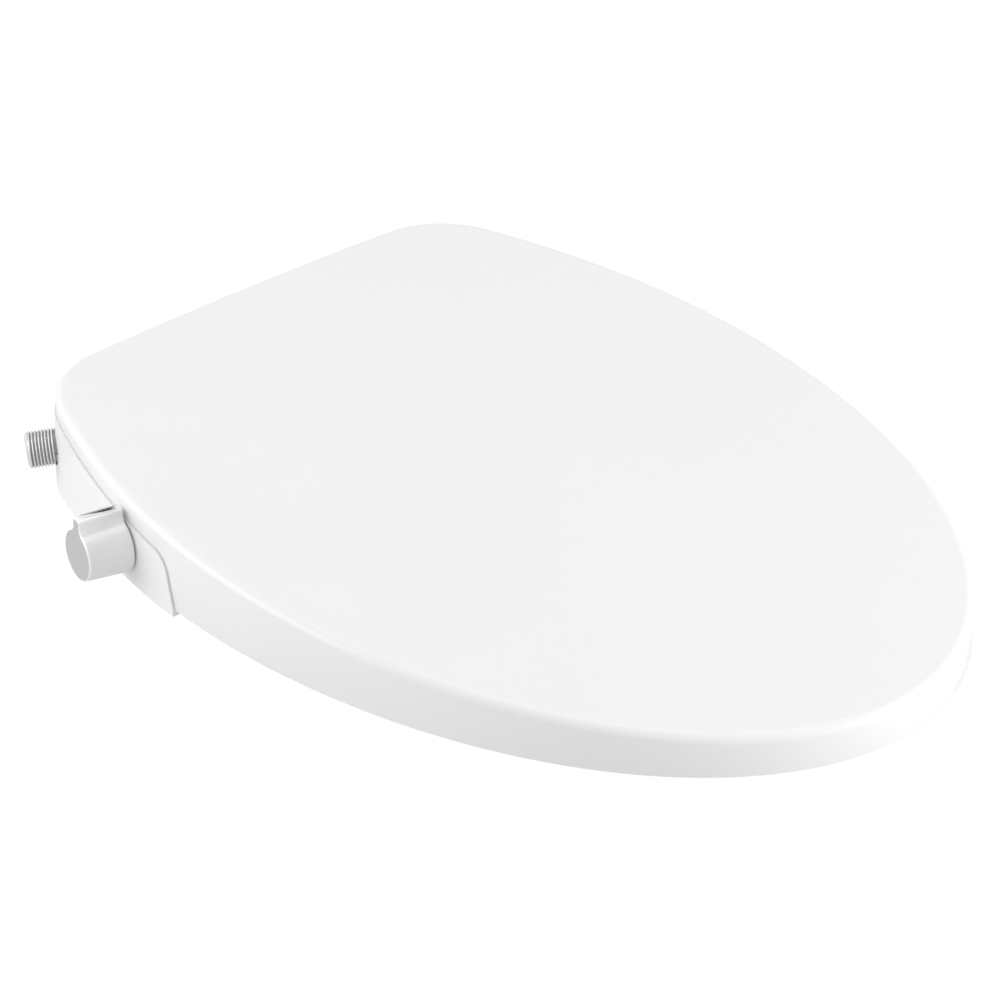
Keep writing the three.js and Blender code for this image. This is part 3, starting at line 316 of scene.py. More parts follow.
def satin(name, color):
    """The knob's side: satin plating, with a painted highlight along the edges round the face and the tab's lips,
    and painted shade in the slot along the tab's rear wall.
    """
    k = bpy.context.scene.bidet_knob
    made, principled = shader(name, color, 0.42, metallic=0.4)
    tree = made.node_tree
    lie = knob_matrix().inverted()
    where = node(tree, "ShaderNodeTexCoord")
    mapping = node(tree, "ShaderNodeMapping")
    mapping.inputs["Rotation"].default_value = lie.to_euler()
    mapping.inputs["Location"].default_value = lie.to_translation()
    split = node(tree, "ShaderNodeSeparateXYZ")
    tree.links.new(where.outputs["Object"], mapping.inputs["Vector"])
    tree.links.new(mapping.outputs["Vector"], split.inputs["Vector"])
    reach = max(along_knob(v) for v in frame["nodes"]["knob_body"].data.vertices)
    # Painted highlight: thin bands round the face's rim and along the tab's lips.
    edges = []
    for axis, start in (("Z", reach - k.rim * 1.1), ("Y", k.tab_radius - 0.0003)):
        near = node(tree, "ShaderNodeMapRange")
        near.inputs["From Min"].default_value = start - 0.0001
        near.inputs["From Max"].default_value = start + 0.0001
        tree.links.new(split.outputs[axis], near.inputs["Value"])
        edges.append(near.outputs["Result"])
    bright = node(tree, "ShaderNodeMath", operation="MAXIMUM")
    for edge, socket in zip(edges, bright.inputs):
        tree.links.new(edge, socket)
    grain = noise(tree, 900, 3)
    satin_tone = node(tree, "ShaderNodeMix", data_type="RGBA")
    satin_tone.inputs["A"].default_value = [c * 0.97 for c in color[:3]] + [1.0]
    satin_tone.inputs["B"].default_value = list(color)
    tree.links.new(noise(tree, 150, 3), satin_tone.inputs["Factor"])
    # Painted highlight: the base colour goes to white over those bands.
    tone = node(tree, "ShaderNodeMix", data_type="RGBA")
    tone.inputs["B"].default_value = (1.0, 1.0, 1.0, 1.0)
    tree.links.new(bright.outputs["Value"], tone.inputs["Factor"])
    tree.links.new(satin_tone.outputs["Result"], tone.inputs["A"])
    # The slot along the tab's rear wall is too shallow to fall into shade by itself, so painted shade fills it: a
    # near-black base colour.
    half = k.tab_width / 2 - 0.0005
    inside = []
    for axis, low, high in (("X", -half - 0.0002, -half + 0.0016),
                            ("Y", k.tab_radius - 0.0078, k.tab_radius - 0.0014),
                            ("Z", 0.004, reach - 0.0036)):
        for start, compare in ((low, "GREATER_THAN"), (high, "LESS_THAN")):
            test = node(tree, "ShaderNodeMath", operation=compare)
            test.inputs[1].default_value = start
            tree.links.new(split.outputs[axis], test.inputs[0])
            inside.append(test.outputs["Value"])
    both = inside[0]
    for other in inside[1:]:
        product = node(tree, "ShaderNodeMath", operation="MULTIPLY")
        tree.links.new(both, product.inputs[0])
        tree.links.new(other, product.inputs[1])
        both = product.outputs["Value"]
    painted_slot_shade = node(tree, "ShaderNodeMix", data_type="RGBA")
    painted_slot_shade.inputs["B"].default_value = (0.02, 0.02, 0.02, 1.0)
    tree.links.new(both, painted_slot_shade.inputs["Factor"])
    tree.links.new(tone.outputs["Result"], painted_slot_shade.inputs["A"])
    tree.links.new(painted_slot_shade.outputs["Result"], principled.inputs["Base Color"])
    tree.links.new(spread(tree, grain, 0.38, 0.48), principled.inputs["Roughness"])
    bump(tree, principled, grain, 0.04, 0.0001)
    return made


def make_finishes():
    """Every finish, by the record's material slot."""
    tone = bpy.context.scene.bidet_finish
    white = moulded("white_gloss", tone.white, 0.3, 0.4, 900, 0.03, Coat_Weight=0.12,
                    Coat_Roughness=0.12, Specular_IOR_Level=0.42)
    inner = moulded("white_satin", tone.inner_white, 0.42, 0.55, 700, 0.08, 0.96)
    rubber = moulded("rubber", tone.rubber, 0.65, 0.8, 1500, 0.15, 0.93)
    grey = moulded("grey_plastic", tone.grey, 0.4, 0.55, 800, 0.12, 0.93)
    tube = moulded("hose", tone.tube, 0.2, 0.3, 500, 0.04, 0.97, Subsurface_Weight=0.2,
                   Subsurface_Radius=(0.004, 0.004, 0.004), Subsurface_Scale=0.5)
    return {
        "white_gloss": white,
        "white_satin": inner,
        "rubber": rubber,
        "grey_plastic": grey,
        "hose": tube,
        "knob_silver": satin("knob_silver", tone.silver),
        "knob_face": spun_face("knob_face", tone.face),
        "nickel": threaded("nickel", tone.nickel),
        "steel": plated("steel", tone.steel, 0.28, 0.4),
    }


FINISHES = {}


# ------------------------------------------------------------------ mesh tools


def new_object(name, mesh):
    """An object for a mesh, linked to the scene."""
    made = bpy.data.objects.new(name, mesh)
    bpy.context.scene.collection.objects.link(made)
    return made


def mesh_object(name, points, faces):
    """A mesh object with its faces turned outwards."""
    mesh = bpy.data.meshes.new(name)
    mesh.from_pydata([tuple(p) for p in points], [], faces)
    work = bmesh.new()
    work.from_mesh(mesh)
    bmesh.ops.remove_doubles(work, verts=work.verts, dist=1e-7)
    bmesh.ops.recalc_face_normals(work, faces=work.faces)
    work.to_mesh(mesh)
    work.free()
    return new_object(name, mesh)


def loft(name, rings):
    """A closed skin over rings of as many points each, with a flat cap at both ends."""
    ring_size = len(rings[0])
    faces = []
    for level in range(len(rings) - 1):
        for i in range(ring_size):
            a, b = level * ring_size + i, level * ring_size + (i + 1) % ring_size
            faces.append((a, b, b + ring_size, a + ring_size))
    faces.append(tuple(reversed(range(ring_size))))
    faces.append(tuple(range((len(rings) - 1) * ring_size, len(rings) * ring_size)))
    return mesh_object(name, [p for ring in rings for p in ring], faces)


def at_height(outline, height):
    """An outline as points at a height, which may depend on y."""
    rise = height if callable(height) else lambda y: height
    return [Vector((x, y, rise(y))) for x, y in outline]


def offset(outline, distance):
    """A closed counter-clockwise outline moved outwards by a distance."""
    moved = []
    for i, (x, y) in enumerate(outline):
        before, after = outline[i - 1], outline[(i + 1) % len(outline)]
        a = Vector((x - before[0], y - before[1])).normalized()
        b = Vector((after[0] - x, after[1] - y)).normalized()
        out = Vector((a.y + b.y, -a.x - b.x)).normalized()
        reach = distance / math.sqrt(max((1 + a.dot(b)) / 2, 0.1))
        moved.append((x + out.x * reach, y + out.y * reach))
    return moved


def crowned(name, outline, bottom, top, radius, steps=8):
    """A solid between a bottom and a sloping top, with a rounded top edge."""
    rings = [at_height(outline, bottom)]
    for i in range(steps + 1):
        turn = i / steps * math.pi / 2
        drop = radius * (1 - math.sin(turn))
        inner = offset(outline, -radius * (1 - math.cos(turn)))
        rings.append(at_height(inner, lambda y: top(y) - drop))
    return loft(name, rings)


def box(low, high):
    """A box between two corners."""
    (x0, y0, z0), (x1, y1, z1) = low, high
    square = [(x0, y0), (x1, y0), (x1, y1), (x0, y1)]
    return loft("box", [at_height(square, z0), at_height(square, z1)])


def ring_points(radius, z, sides, middle=(0.0, 0.0)):
    """Points of a circle round Z."""
    turns = [2 * math.pi * i / sides for i in range(sides)]
    x, y = middle
    return [Vector((x + radius * math.cos(t), y + radius * math.sin(t), z)) for t in turns]


def turned(name, profile, sides=64):
    """A solid of revolution round Z from [radius, height] points, lowest first."""
    return loft(name, [ring_points(radius, z, sides) for radius, z in profile])


def rounded(radius, z0, z1, edge, steps=4, bottom_edge=None):
    """The profile of a round bar with rounded ends, for turned()."""
    low = edge if bottom_edge is None else bottom_edge
    profile = []
    for i in range(steps + 1):
        turn = i / steps * math.pi / 2
        profile.append((radius - low * (1 - math.sin(turn)), z0 + low * (1 - math.cos(turn))))
    for i in range(steps + 1):
        turn = i / steps * math.pi / 2
        profile.append((radius - edge * (1 - math.cos(turn)), z1 - edge * (1 - math.sin(turn))))
    return profile


def cross_bar(radius, x0, x1, y, z, sides=48):
    """A plain round bar along X."""
    made = turned("bar", [(radius, x0), (radius, x1)], sides)
    return place(made, Matrix.Translation((0, y, z)) @ Matrix.Rotation(math.pi / 2, 4, "Y"))


def place(obj, matrix):
    """Moves a mesh's points, and leaves its object at the origin."""
    obj.data.transform(matrix)
    if matrix.determinant() < 0:
        obj.data.flip_normals()
    return obj


def settle(obj):
    """Turns an object with live modifiers into a plain mesh."""
    graph = bpy.context.evaluated_depsgraph_get()
    mesh = bpy.data.meshes.new_from_object(obj.evaluated_get(graph))
    old = obj.data
    obj.modifiers.clear()
    obj.data = mesh
    bpy.data.meshes.remove(old)
    return obj


def combine(obj, operation, *tools):
    """Cuts, joins or keeps what a solid shares with other closed solids, which are used up."""
    for tool in tools:
        step = obj.modifiers.new("combine", "BOOLEAN")
        step.operation = operation
        step.solver = "MANIFOLD"
        step.object = tool
    settle(obj)
    for tool in tools:
        bpy.data.objects.remove(tool)
    return obj


def cut(obj, *tools):
    """Removes the tools' shapes from a solid."""
    return combine(obj, "DIFFERENCE", *tools)


def join(obj, *tools):
    """Joins closed solids into one."""
    return combine(obj, "UNION", *tools)


def keep(obj, *tools):
    """Keeps what a solid shares with the tools."""
    return combine(obj, "INTERSECT", *tools)


def slab(profile, x0, x1):
    """A side profile of (y, z) points, extruded from x0 to x1."""
    low = [Vector((x0, y, z)) for y, z in profile]
    high = [Vector((x1, y, z)) for y, z in profile]
    return loft("slab", [low, high])


def soften(obj, radius, angle=38, segments=2):
    """Rounds the edges that are sharper than an angle."""
    step = obj.modifiers.new("soften", "BEVEL")
    step.width = radius
    step.segments = segments
    step.limit_method = "ANGLE"
    step.angle_limit = math.radians(angle)
    step.harden_normals = False
    step.use_clamp_overlap = True
    return settle(obj)


def finish(obj, name, slot, body, replaces=(), smooth=35):
    """Names a piece, shades it, gives it its finish and ties it to its body."""
    obj.name = name
    obj.data.name = name
    work = bmesh.new()
    work.from_mesh(obj.data)
    bmesh.ops.remove_doubles(work, verts=work.verts, dist=2e-6)
    work.to_mesh(obj.data)
    work.free()
    obj.data.shade_smooth()
    obj.data.set_sharp_from_angle(angle=math.radians(smooth))
    obj.data.materials.clear()
    obj.data.materials.append(FINISHES[slot])
    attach(obj, body)
    if replaces:
        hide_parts(*replaces)
    return obj


# ------------------------------------------------------------------ Geometry Nodes


class Tree:
    """A Geometry Nodes group built step by step, with named inputs."""

    def __init__(self, name):
        self.group = bpy.data.node_groups.new(name, "GeometryNodeTree")
        self.group.interface.new_socket("Geometry", in_out="OUTPUT", socket_type="NodeSocketGeometry")
        self.inputs = self.group.nodes.new("NodeGroupInput")
        self.values = {}

    def number(self, name, value, whole=False):
        """A named number input, and the socket that gives it inside the group."""
        kind = "NodeSocketInt" if whole else "NodeSocketFloat"
        socket = self.group.interface.new_socket(name, in_out="INPUT", socket_type=kind)
        self.values[socket.identifier] = value
        return self.inputs.outputs[name]

    def object(self, name, value):
        """A named object input, and the socket that gives it inside the group."""
        socket = self.group.interface.new_socket(name, in_out="INPUT", socket_type="NodeSocketObject")
        self.values[socket.identifier] = value
        return self.inputs.outputs[name]

    def add(self, kind, links=None, **values):
        """A node, with its inputs linked or set by name."""
        made = self.group.nodes.new(kind)
        for name, value in values.items():
            setattr(made, name, value)
        for name, value in (links or {}).items():
            if isinstance(value, bpy.types.NodeSocket):
                self.group.links.new(value, made.inputs[name])
            else:
                made.inputs[name].default_value = value
        return made

    def build(self, name, last, slot):
        """Ends the tree in Realize Instances and Set Material, and returns the plain mesh."""
        real = self.add("GeometryNodeRealizeInstances", {"Geometry": last})
        painted = self.add("GeometryNodeSetMaterial", {
            "Geometry": real.outputs["Geometry"], "Material": FINISHES[slot],
        })
        out = self.group.nodes.new("NodeGroupOutput")
        self.group.links.new(painted.outputs["Geometry"], out.inputs["Geometry"])
        made = new_object(name, bpy.data.meshes.new(name))
        step = made.modifiers.new("pattern", "NODES")
        step.node_group = self.group
        for identifier, value in self.values.items():
            step[identifier] = value
        return settle(made)


def scattered(name, one, places, slot):
    """Copies of one small mesh at several places, through Geometry Nodes."""
    points = new_object("places", bpy.data.meshes.new("places"))
    points.data.from_pydata([tuple(p) for p in places], [], [])
    tree = Tree(name)
    spots = tree.add("GeometryNodeObjectInfo", {"Object": tree.object("Places", points)})
    shape = tree.add("GeometryNodeObjectInfo", {"Object": tree.object("Shape", one)})
    copies = tree.add("GeometryNodeInstanceOnPoints", {
        "Points": spots.outputs["Geometry"],
        "Instance": shape.outputs["Geometry"],
        "Scale": (1.0, 1.0, 1.0),
    })
    made = tree.build(name, copies.outputs["Instances"], slot)
    bpy.data.objects.remove(points)
    bpy.data.objects.remove(one)
    return made


def coil(name, radius, wire, height, turns, slot):
    """A round wire wound on a cylinder about Z, through Geometry Nodes."""
    tree = Tree(name)
    spiral = tree.add("GeometryNodeCurveSpiral", {
        "Resolution": tree.number("Steps per turn", 32, True),
        "Rotations": tree.number("Turns", turns),
        "Start Radius": tree.number("Coil radius", radius),
        "End Radius": tree.number("End radius", radius),
        "Height": tree.number("Height", height),
    })
    section = tree.add("GeometryNodeCurvePrimitiveCircle", {
        "Resolution": 10, "Radius": tree.number("Wire radius", wire),
    })
    tube = tree.add("GeometryNodeCurveToMesh", {
        "Curve": spiral.outputs["Curve"],
        "Profile Curve": section.outputs["Curve"],
        "Fill Caps": True,
    })
    return tree.build(name, tube.outputs["Mesh"], slot)


# ------------------------------------------------------------------ outlines and heights


def shell():
    """The settings of the lid, ring and housing."""
    return bpy.context.scene.bidet_shell


def flank_x(y):
    """Half width of the lid along its flank."""
    s = shell()
    bow = (LID_HIGH.x - s.rear_half_width) / (LID_HIGH.y - s.widest_y) ** 2
    return LID_HIGH.x - bow * (y - s.widest_y) ** 2


def flank_angle(y):
    """Angle of the flank's outward normal, from +X towards the rear."""
    s = shell()
    bow = (LID_HIGH.x - s.rear_half_width) / (LID_HIGH.y - s.widest_y) ** 2
    return math.atan(2 * bow * (y - s.widest_y))


def corner():
    """The rear corner's centre x and y, and the angle at which it leaves the flank."""
    s = shell()
    y = LID_HIGH.y - s.rear_bow - s.corner_radius
    angle = flank_angle(y)
    for _ in range(20):
        angle = flank_angle(y + s.corner_radius * math.sin(angle))
    start = y + s.corner_radius * math.sin(angle)
    return flank_x(start) - s.corner_radius * math.cos(angle), y, angle


def outline(nose_steps=72, flank_steps=60, corner_steps=24, rear_steps=10):
    """The lid's plan outline, counter-clockwise from the nose."""
    s = shell()
    corner_x, corner_y, start = corner()
    nose = s.widest_y - LID_LOW.y
    half = []
    for i in range(nose_steps):
        turn = i / nose_steps * math.pi / 2
        half.append((LID_HIGH.x * math.sin(turn), s.widest_y - nose * math.cos(turn)))
    end = corner_y + s.corner_radius * math.sin(start)
    for i in range(flank_steps):
        y = s.widest_y + (end - s.widest_y) * i / flank_steps
        half.append((flank_x(y), y))
    for i in range(corner_steps):
        turn = start + (math.pi / 2 - start) * i / corner_steps
        half.append((corner_x + s.corner_radius * math.cos(turn),
                     corner_y + s.corner_radius * math.sin(turn)))
    for i in range(rear_steps + 1):
        x = corner_x * (1 - i / rear_steps)
        half.append((x, LID_HIGH.y - s.rear_bow * (x / corner_x) ** 2))
    return half + [(-x, y) for x, y in reversed(half[1:-1])]


def lid_top(y):
    """Height of the lid's top."""
    s = shell()
    slope = (s.top_rear - s.top_nose) / (LID_HIGH.y - LID_LOW.y)
    return s.top_rear - slope * (LID_HIGH.y - y)


def lid_ceiling(y):
    """Height of the lid's inner face."""
    return lid_top(y) - shell().wall


def seat_top(y):
    """Height of the ring's top."""
    return lid_ceiling(y) - shell().seat_gap


PARTING_REAR_Y = 0.025
PARTING_KNEE_Y = -0.103
CHEEK_FRONT_Y = -0.1215
DECK_RECESS = 0.002
DECK_GAP = 0.0015
FAR = 0.3


def parting_z(y):
    """Height of the straight part of the parting line."""
    s = shell()
    slope = (s.parting_rear - s.parting_knee) / (PARTING_REAR_Y - PARTING_KNEE_Y)
    return s.parting_rear + slope * (y - PARTING_REAR_Y)


def deck_top(y):
    """Height of the housing's deck under the ring."""
    return parting_z(y) - shell().parting_gap - DECK_RECESS


def parting_profile(back, down, above=False):
    """The housing's side profile, moved back and down, or the region over it."""
    s = shell()
    rear = LID_HIGH.y + 0.03
    knee = Vector((PARTING_KNEE_Y, s.parting_knee))
    bend = (knee, knee + Vector((-0.011, -0.0008)), knee + Vector((-0.0135, -0.013)))
    points = [Vector((rear, parting_z(rear)))]
    steps = 14
    for i in range(steps + 1):
        t = i / steps
        points.append((1 - t) ** 2 * bend[0] + 2 * t * (1 - t) * bend[1] + t * t * bend[2])
    points.append(Vector((CHEEK_FRONT_Y, LID_LOW.z)))
    moved = [(p.x + (back if i else 0), p.y - down) for i, p in enumerate(points)]
    moved.append((CHEEK_FRONT_Y + back, -0.02))
    if above:
        return moved + [(LID_LOW.y - 0.03, -0.02), (LID_LOW.y - 0.03, 0.1), (rear, 0.1)]
    return moved + [(rear, -0.02)]


def ellipse(half_width, half_length, centre_y, sides=144):
    """Points of an ellipse on the symmetry plane."""
    turns = [2 * math.pi * i / sides for i in range(sides)]
    return [(half_width * math.cos(t), centre_y + half_length * math.sin(t)) for t in turns]


def wall_matrix(origin, normal):
    """A local frame with its z axis along a wall's outward normal and its y axis up."""
    side = Vector((0, 0, 1)).cross(normal).normalized()
    up = normal.cross(side)
    turn = Matrix((side, up, normal)).transposed().to_4x4()
    return Matrix.Translation(origin) @ turn


def knob_matrix():
    """The knob's local frame, z outwards along its axis."""
    return wall_matrix(KNOB_PLACE, KNOB_AXIS)


# The mount's point lies on the wall of the end face, this far from the inlet's axis.
INLET_MOUNT_RADIUS = 0.0083


def inlet_matrix():
    """The inlet's local frame, with its origin at the middle of its end face."""
    side = Vector((0, 0, 1)).cross(INLET_AXIS).normalized()
    return wall_matrix(Vector(INLET_MOUNT["pos_m"]) - side * INLET_MOUNT_RADIUS, INLET_AXIS)


# ------------------------------------------------------------------ lid

TOWER = (0.092, 0.108)
LUG_WIDTH = 0.007
LUG_GAP = 0.002
BARREL_RADIUS = 0.008
SHAFT_RADIUS = 0.0035


def lug(side, inner, top=None):
    """A hinge eye round the hinge line, with a web up to a height if one is given."""
    x0, x1 = sorted((side * inner, side * (inner + LUG_WIDTH)))
    eye = cross_bar(BARREL_RADIUS, x0, x1, HINGE.y, HINGE.z)
    if top is not None:
        web = box((x0, HINGE.y - 0.007, HINGE.z), (x1, HINGE.y + 0.007, top))
        join(eye, web)
    return eye


def lug_bore(side, inner, radius=SHAFT_RADIUS + 0.0003, width=LUG_WIDTH):
    """The hole through a hinge eye."""
    x0, x1 = sorted((side * (inner - 0.001), side * (inner + width + 0.001)))
    return cross_bar(radius, x0, x1, HINGE.y, HINGE.z)


def build_lid():
    """The lid's shell with its rim, rear flap, hinge notches and lugs."""
    s = shell()
    plan = outline()
    inner_plan = offset(plan, -s.wall)
    lid = crowned("lid", plan, LID_LOW.z, lid_top, s.edge_radius, 12)
    inner = crowned("inner", inner_plan, -0.01, lid_ceiling, s.edge_radius - s.wall, 4)
    cut(lid, inner, slab(parting_profile(0, 0), -FAR, FAR))
    flap_half = TOWER[0] - 2 * LUG_GAP - LUG_WIDTH
    wall = loft("wall", [at_height(plan, 0.0), at_height(plan, 0.052)])
    keep(wall, box((-flap_half, HINGE.y, HINGE.z - 0.013),
                   (flap_half, LID_HIGH.y + 0.01, parting_z(LID_HIGH.y) + 0.003)))
    cut(wall, crowned("inner", inner_plan, -0.01, lid_ceiling, s.edge_radius - s.wall, 4))
    join(lid, wall)
    for _, side in SIDES:
        x0, x1 = sorted((side * (TOWER[0] - LUG_GAP), side * (TOWER[1] + LUG_GAP - 0.0003)))
        cut(lid, box((x0, HINGE.y, HINGE.z - BARREL_RADIUS),
                     (x1, LID_HIGH.y + 0.01, lid_ceiling(HINGE.y) - 0.0005)))
        join(lid, lug(side, TOWER[1] + LUG_GAP, lid_top(HINGE.y) - 0.0012))
        cut(lid, lug_bore(side, TOWER[1] + LUG_GAP))
    soften(lid, s.soft_edge)
    finish(lid, "lid_panel", "white_gloss", "lid", ["lid_shell"])


def build_lid_pads():
    """The four rubber pads under the lid."""
    nodes = [f"lid_pad_{end}_{hand}" for end in ("front", "rear") for hand, _ in SIDES]
    low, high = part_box(nodes[0])
    radius = (high.x - low.x) / 2
    slope = math.atan((shell().top_rear - shell().top_nose) / (LID_HIGH.y - LID_LOW.y))
    height = shell().seat_gap - 0.0006
    one = turned("pad", rounded(radius, 0, height, 0.0009), 40)
    place(one, Matrix.Rotation(slope, 4, "X"))
    places = []
    for name in nodes:
        low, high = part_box(name)
        middle = (low + high) / 2
        places.append((middle.x, middle.y, seat_top(middle.y) + 0.0003))
    finish(scattered("pads", one, places, "rubber"), "lid_pads", "rubber", "lid", nodes)


# ------------------------------------------------------------------ seat ring

OPENING = (0.110, 0.149, -0.241)
SEAT_BOTTOM = 0.0045
SEAT_EDGE = 0.006
SEAT_WALL = 0.0032
TONGUE_HALF = 0.134
TONGUE_REAR = 0.004
SHOULDER_Y = CHEEK_FRONT_Y - 0.0035


def opening_tool(margin):
    """The ring's opening, flared at the top like the edge of a moulding."""
    def wide(extra):
        return ellipse(OPENING[0] + margin + extra, OPENING[1] + margin + extra, OPENING[2])
    rings = [at_height(wide(0), -0.02)]
    steps = 8
    for i in range(steps + 1):
        turn = i / steps * math.pi / 2
        grow = SEAT_EDGE * (1 - math.cos(turn))
        drop = SEAT_EDGE * (1 - math.sin(turn))
        rings.append(at_height(wide(grow), lambda y: seat_top(y) - drop))
    rings.append(at_height(wide(SEAT_EDGE), lambda y: seat_top(y) + 0.01))
    return loft("opening", rings)


def tongue_plan():
    """The ring's rear tongue, which lies on the housing's deck."""
    round_, steps = 0.014, 8
    plan = [(-TONGUE_HALF, SHOULDER_Y - 0.006), (TONGUE_HALF, SHOULDER_Y - 0.006)]
    for side in (1, -1):
        for i in range(steps + 1):
            turn = i / steps * math.pi / 2
            if side < 0:
                turn = math.pi / 2 - turn
            x = TONGUE_HALF - round_ * (1 - math.cos(turn))
            y = TONGUE_REAR - round_ * (1 - math.sin(turn))
            plan.append((side * x, y))
    return plan


def build_ring():
    """The seat ring with its tongue, hinge arms and hollow underside."""
    plan = offset(outline(72, 24, 16, 6), -0.008)
    front = lambda y: box((-FAR, LID_LOW.y - 0.01, -0.03), (FAR, y, 0.08))
    ring = keep(crowned("ring", plan, SEAT_BOTTOM, seat_top, SEAT_EDGE, 10), front(SHOULDER_Y))
    under = offset(plan, -SEAT_WALL)

    def hollow():
        made = loft("hollow", [at_height(under, -0.02),
                               at_height(under, lambda y: seat_top(y) - SEAT_WALL)])
        return cut(keep(made, front(SHOULDER_Y - SEAT_WALL)), opening_tool(SEAT_WALL))

    cut(ring, hollow(), opening_tool(0))
    tongue = crowned("tongue", tongue_plan(), lambda y: deck_top(y) + DECK_GAP, seat_top, 0.0025, 5)
    cut(tongue, opening_tool(0), hollow())
    join(ring, tongue)
    for _, side in SIDES:
        inner = TOWER[0] - LUG_GAP - LUG_WIDTH
        x0, x1 = sorted((side * inner, side * (inner + LUG_WIDTH)))
        top = seat_top(TONGUE_REAR)
        arm = box((x0, TONGUE_REAR - 0.016, top - 0.0044), (x1, HINGE.y, top))
        join(ring, arm, lug(side, inner))
        cut(ring, lug_bore(side, inner))
    soften(ring, shell().soft_edge)
    finish(ring, "ring_shell", "white_gloss", "seat", ["seat_ring"])

    low = SEAT_BOTTOM + 0.0002
    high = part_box("seat_underside")[1].z
    cover_plan = offset(plan, -SEAT_WALL - 0.0003)
    cover = loft("cover", [at_height(cover_plan, low), at_height(cover_plan, high)])
    keep(cover, front(SHOULDER_Y - SEAT_WALL - 0.0003))
    cut(cover, opening_tool(SEAT_WALL + 0.0003))
    # A shallow panel line all round the cover.
    outer = offset(plan, -0.018)
    inner = offset(plan, -0.0192)
    groove = loft("groove", [at_height(outer, 0.0), at_height(outer, low + 0.0006)])
    cut(groove, loft("inside", [at_height(inner, -0.01), at_height(inner, 0.02)]))
    keep(groove, front(SHOULDER_Y - 0.012))
    cut(cover, groove)
    soften(cover, 0.0003)
    finish(cover, "ring_cover", "white_satin", "seat", ["seat_underside"])

    nodes = [f"seat_bumper_{end}_{hand}" for end in ("front", "rear") for hand, _ in SIDES]
    low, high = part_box(nodes[0])
    radius = (high.x - low.x) / 2
    one = turned("bumper", rounded(radius, 0, high.z, 0.0006, 4, 0.0014), 48)
    places = [((lo.x + hi.x) / 2, (lo.y + hi.y) / 2, 0) for lo, hi in map(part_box, nodes)]
    finish(scattered("bumpers", one, places, "rubber"), "ring_bumpers", "rubber", "seat", nodes)


# ------------------------------------------------------------------ housing

BASE_BOTTOM = 0.0015
BASE_WALL = 0.0028
DECK_DEPTH = 0.0054
ARC = (0.138, 0.048)
CHANNEL = (0.021, 0.130)
CORNER_CHANNEL = (0.016, 0.143)
SHELF_Z = 0.025


def front_arc(margin):
    """The bowl-side edge of the housing, as the solid that cuts it."""
    plan = ellipse(ARC[0] + margin, ARC[1] + margin, CHEEK_FRONT_Y)
    return loft("arc", [at_height(plan, -0.03), at_height(plan, 0.1)])


def channel(margin):
    """Room for the lid's rear edge as it swings."""
    made = cross_bar(CHANNEL[0] + margin, -CHANNEL[1] - margin, CHANNEL[1] + margin,
                     HINGE.y, HINGE.z, 96)
    wider = CORNER_CHANNEL[1] + margin
    ends = cross_bar(CORNER_CHANNEL[0] + margin, -wider, wider, HINGE.y, HINGE.z, 80)
    behind = box((-wider, HINGE.y, SHELF_Z - margin), (wider, LID_HIGH.y + 0.01, 0.1))
    return join(made, ends, behind)


def build_housing():
    """The housing's cover: two cheeks, a deck, the hinge towers and the rear shelf."""
    s = shell()
    plan = outline()
    base = loft("base", [
        at_height(offset(plan, 0.0016), BASE_BOTTOM),
        at_height(offset(plan, 0.0006), s.top_rear),
    ])
    keep(base, slab(parting_profile(s.parting_gap, s.parting_gap), -FAR, FAR))
    deck_room = slab(parting_profile(s.parting_gap, s.parting_gap + DECK_RECESS, True),
                     -TONGUE_HALF - 0.005, TONGUE_HALF + 0.005)
    cut(base, front_arc(0), deck_room, channel(0))
    inside = offset(plan, 0.0006 - BASE_WALL)
    hollow = loft("hollow", [at_height(inside, -0.02), at_height(inside, s.top_rear)])
    keep(hollow, slab(parting_profile(s.parting_gap + BASE_WALL, s.parting_gap + DECK_DEPTH), -FAR, FAR))
    cut(hollow, front_arc(BASE_WALL), channel(BASE_WALL))
    cut(base, hollow)
    for _, side in SIDES:
        x0, x1 = sorted((side * TOWER[0], side * TOWER[1]))
        neck = box((x0, HINGE.y - 0.033, HINGE.z - 0.0035), (x1, HINGE.y, HINGE.z + 0.0035))
        join(base, neck, cross_bar(BARREL_RADIUS, x0, x1, HINGE.y, HINGE.z))
        cut(base, lug_bore(side, TOWER[0], 0.0057, TOWER[1] - TOWER[0]))
    spindle_hole = place(turned("hole", [(0.0052, -0.008), (0.0052, 0.006)]), knob_matrix())
    inlet_hole = place(turned("hole", [(0.0105, -0.0218), (0.0105, -0.011)]), inlet_matrix())
    pressed = wall_matrix(button_place(), BUTTON_AXIS)
    button_hole = place(turned("hole", [(0.0083, -0.008), (0.0083, 0.006)]), pressed)
    door = box((-0.021, -0.081, -0.001), (0.021, -0.0692, GATE_PLACE.z - 0.004))
    cut(base, spindle_hole, inlet_hole, button_hole, door)
    for _, side in SIDES:
        x0, x1 = sorted((side * 0.0213, side * 0.0253))
        web = box((x0, GATE_PLACE.y, GATE_PLACE.z - 0.0024), (x1, -0.071, GATE_PLACE.z + 0.0024))
        eye = cross_bar(0.0024, x0, x1, GATE_PLACE.y, GATE_PLACE.z, 32)
        join(base, web, eye)
        cut(base, cross_bar(0.0015, x0 - 0.001, x1 + 0.001, GATE_PLACE.y, GATE_PLACE.z, 24))
    soften(base, s.soft_edge)
    finish(base, "housing", "white_gloss", "base", ["base_cover"])


def button_place():
    """Where the release button's axis meets the flank."""
    low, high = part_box("release_button")
    y = -0.022
    return Vector((flank_x(y), y, (low.z + high.z) / 2))


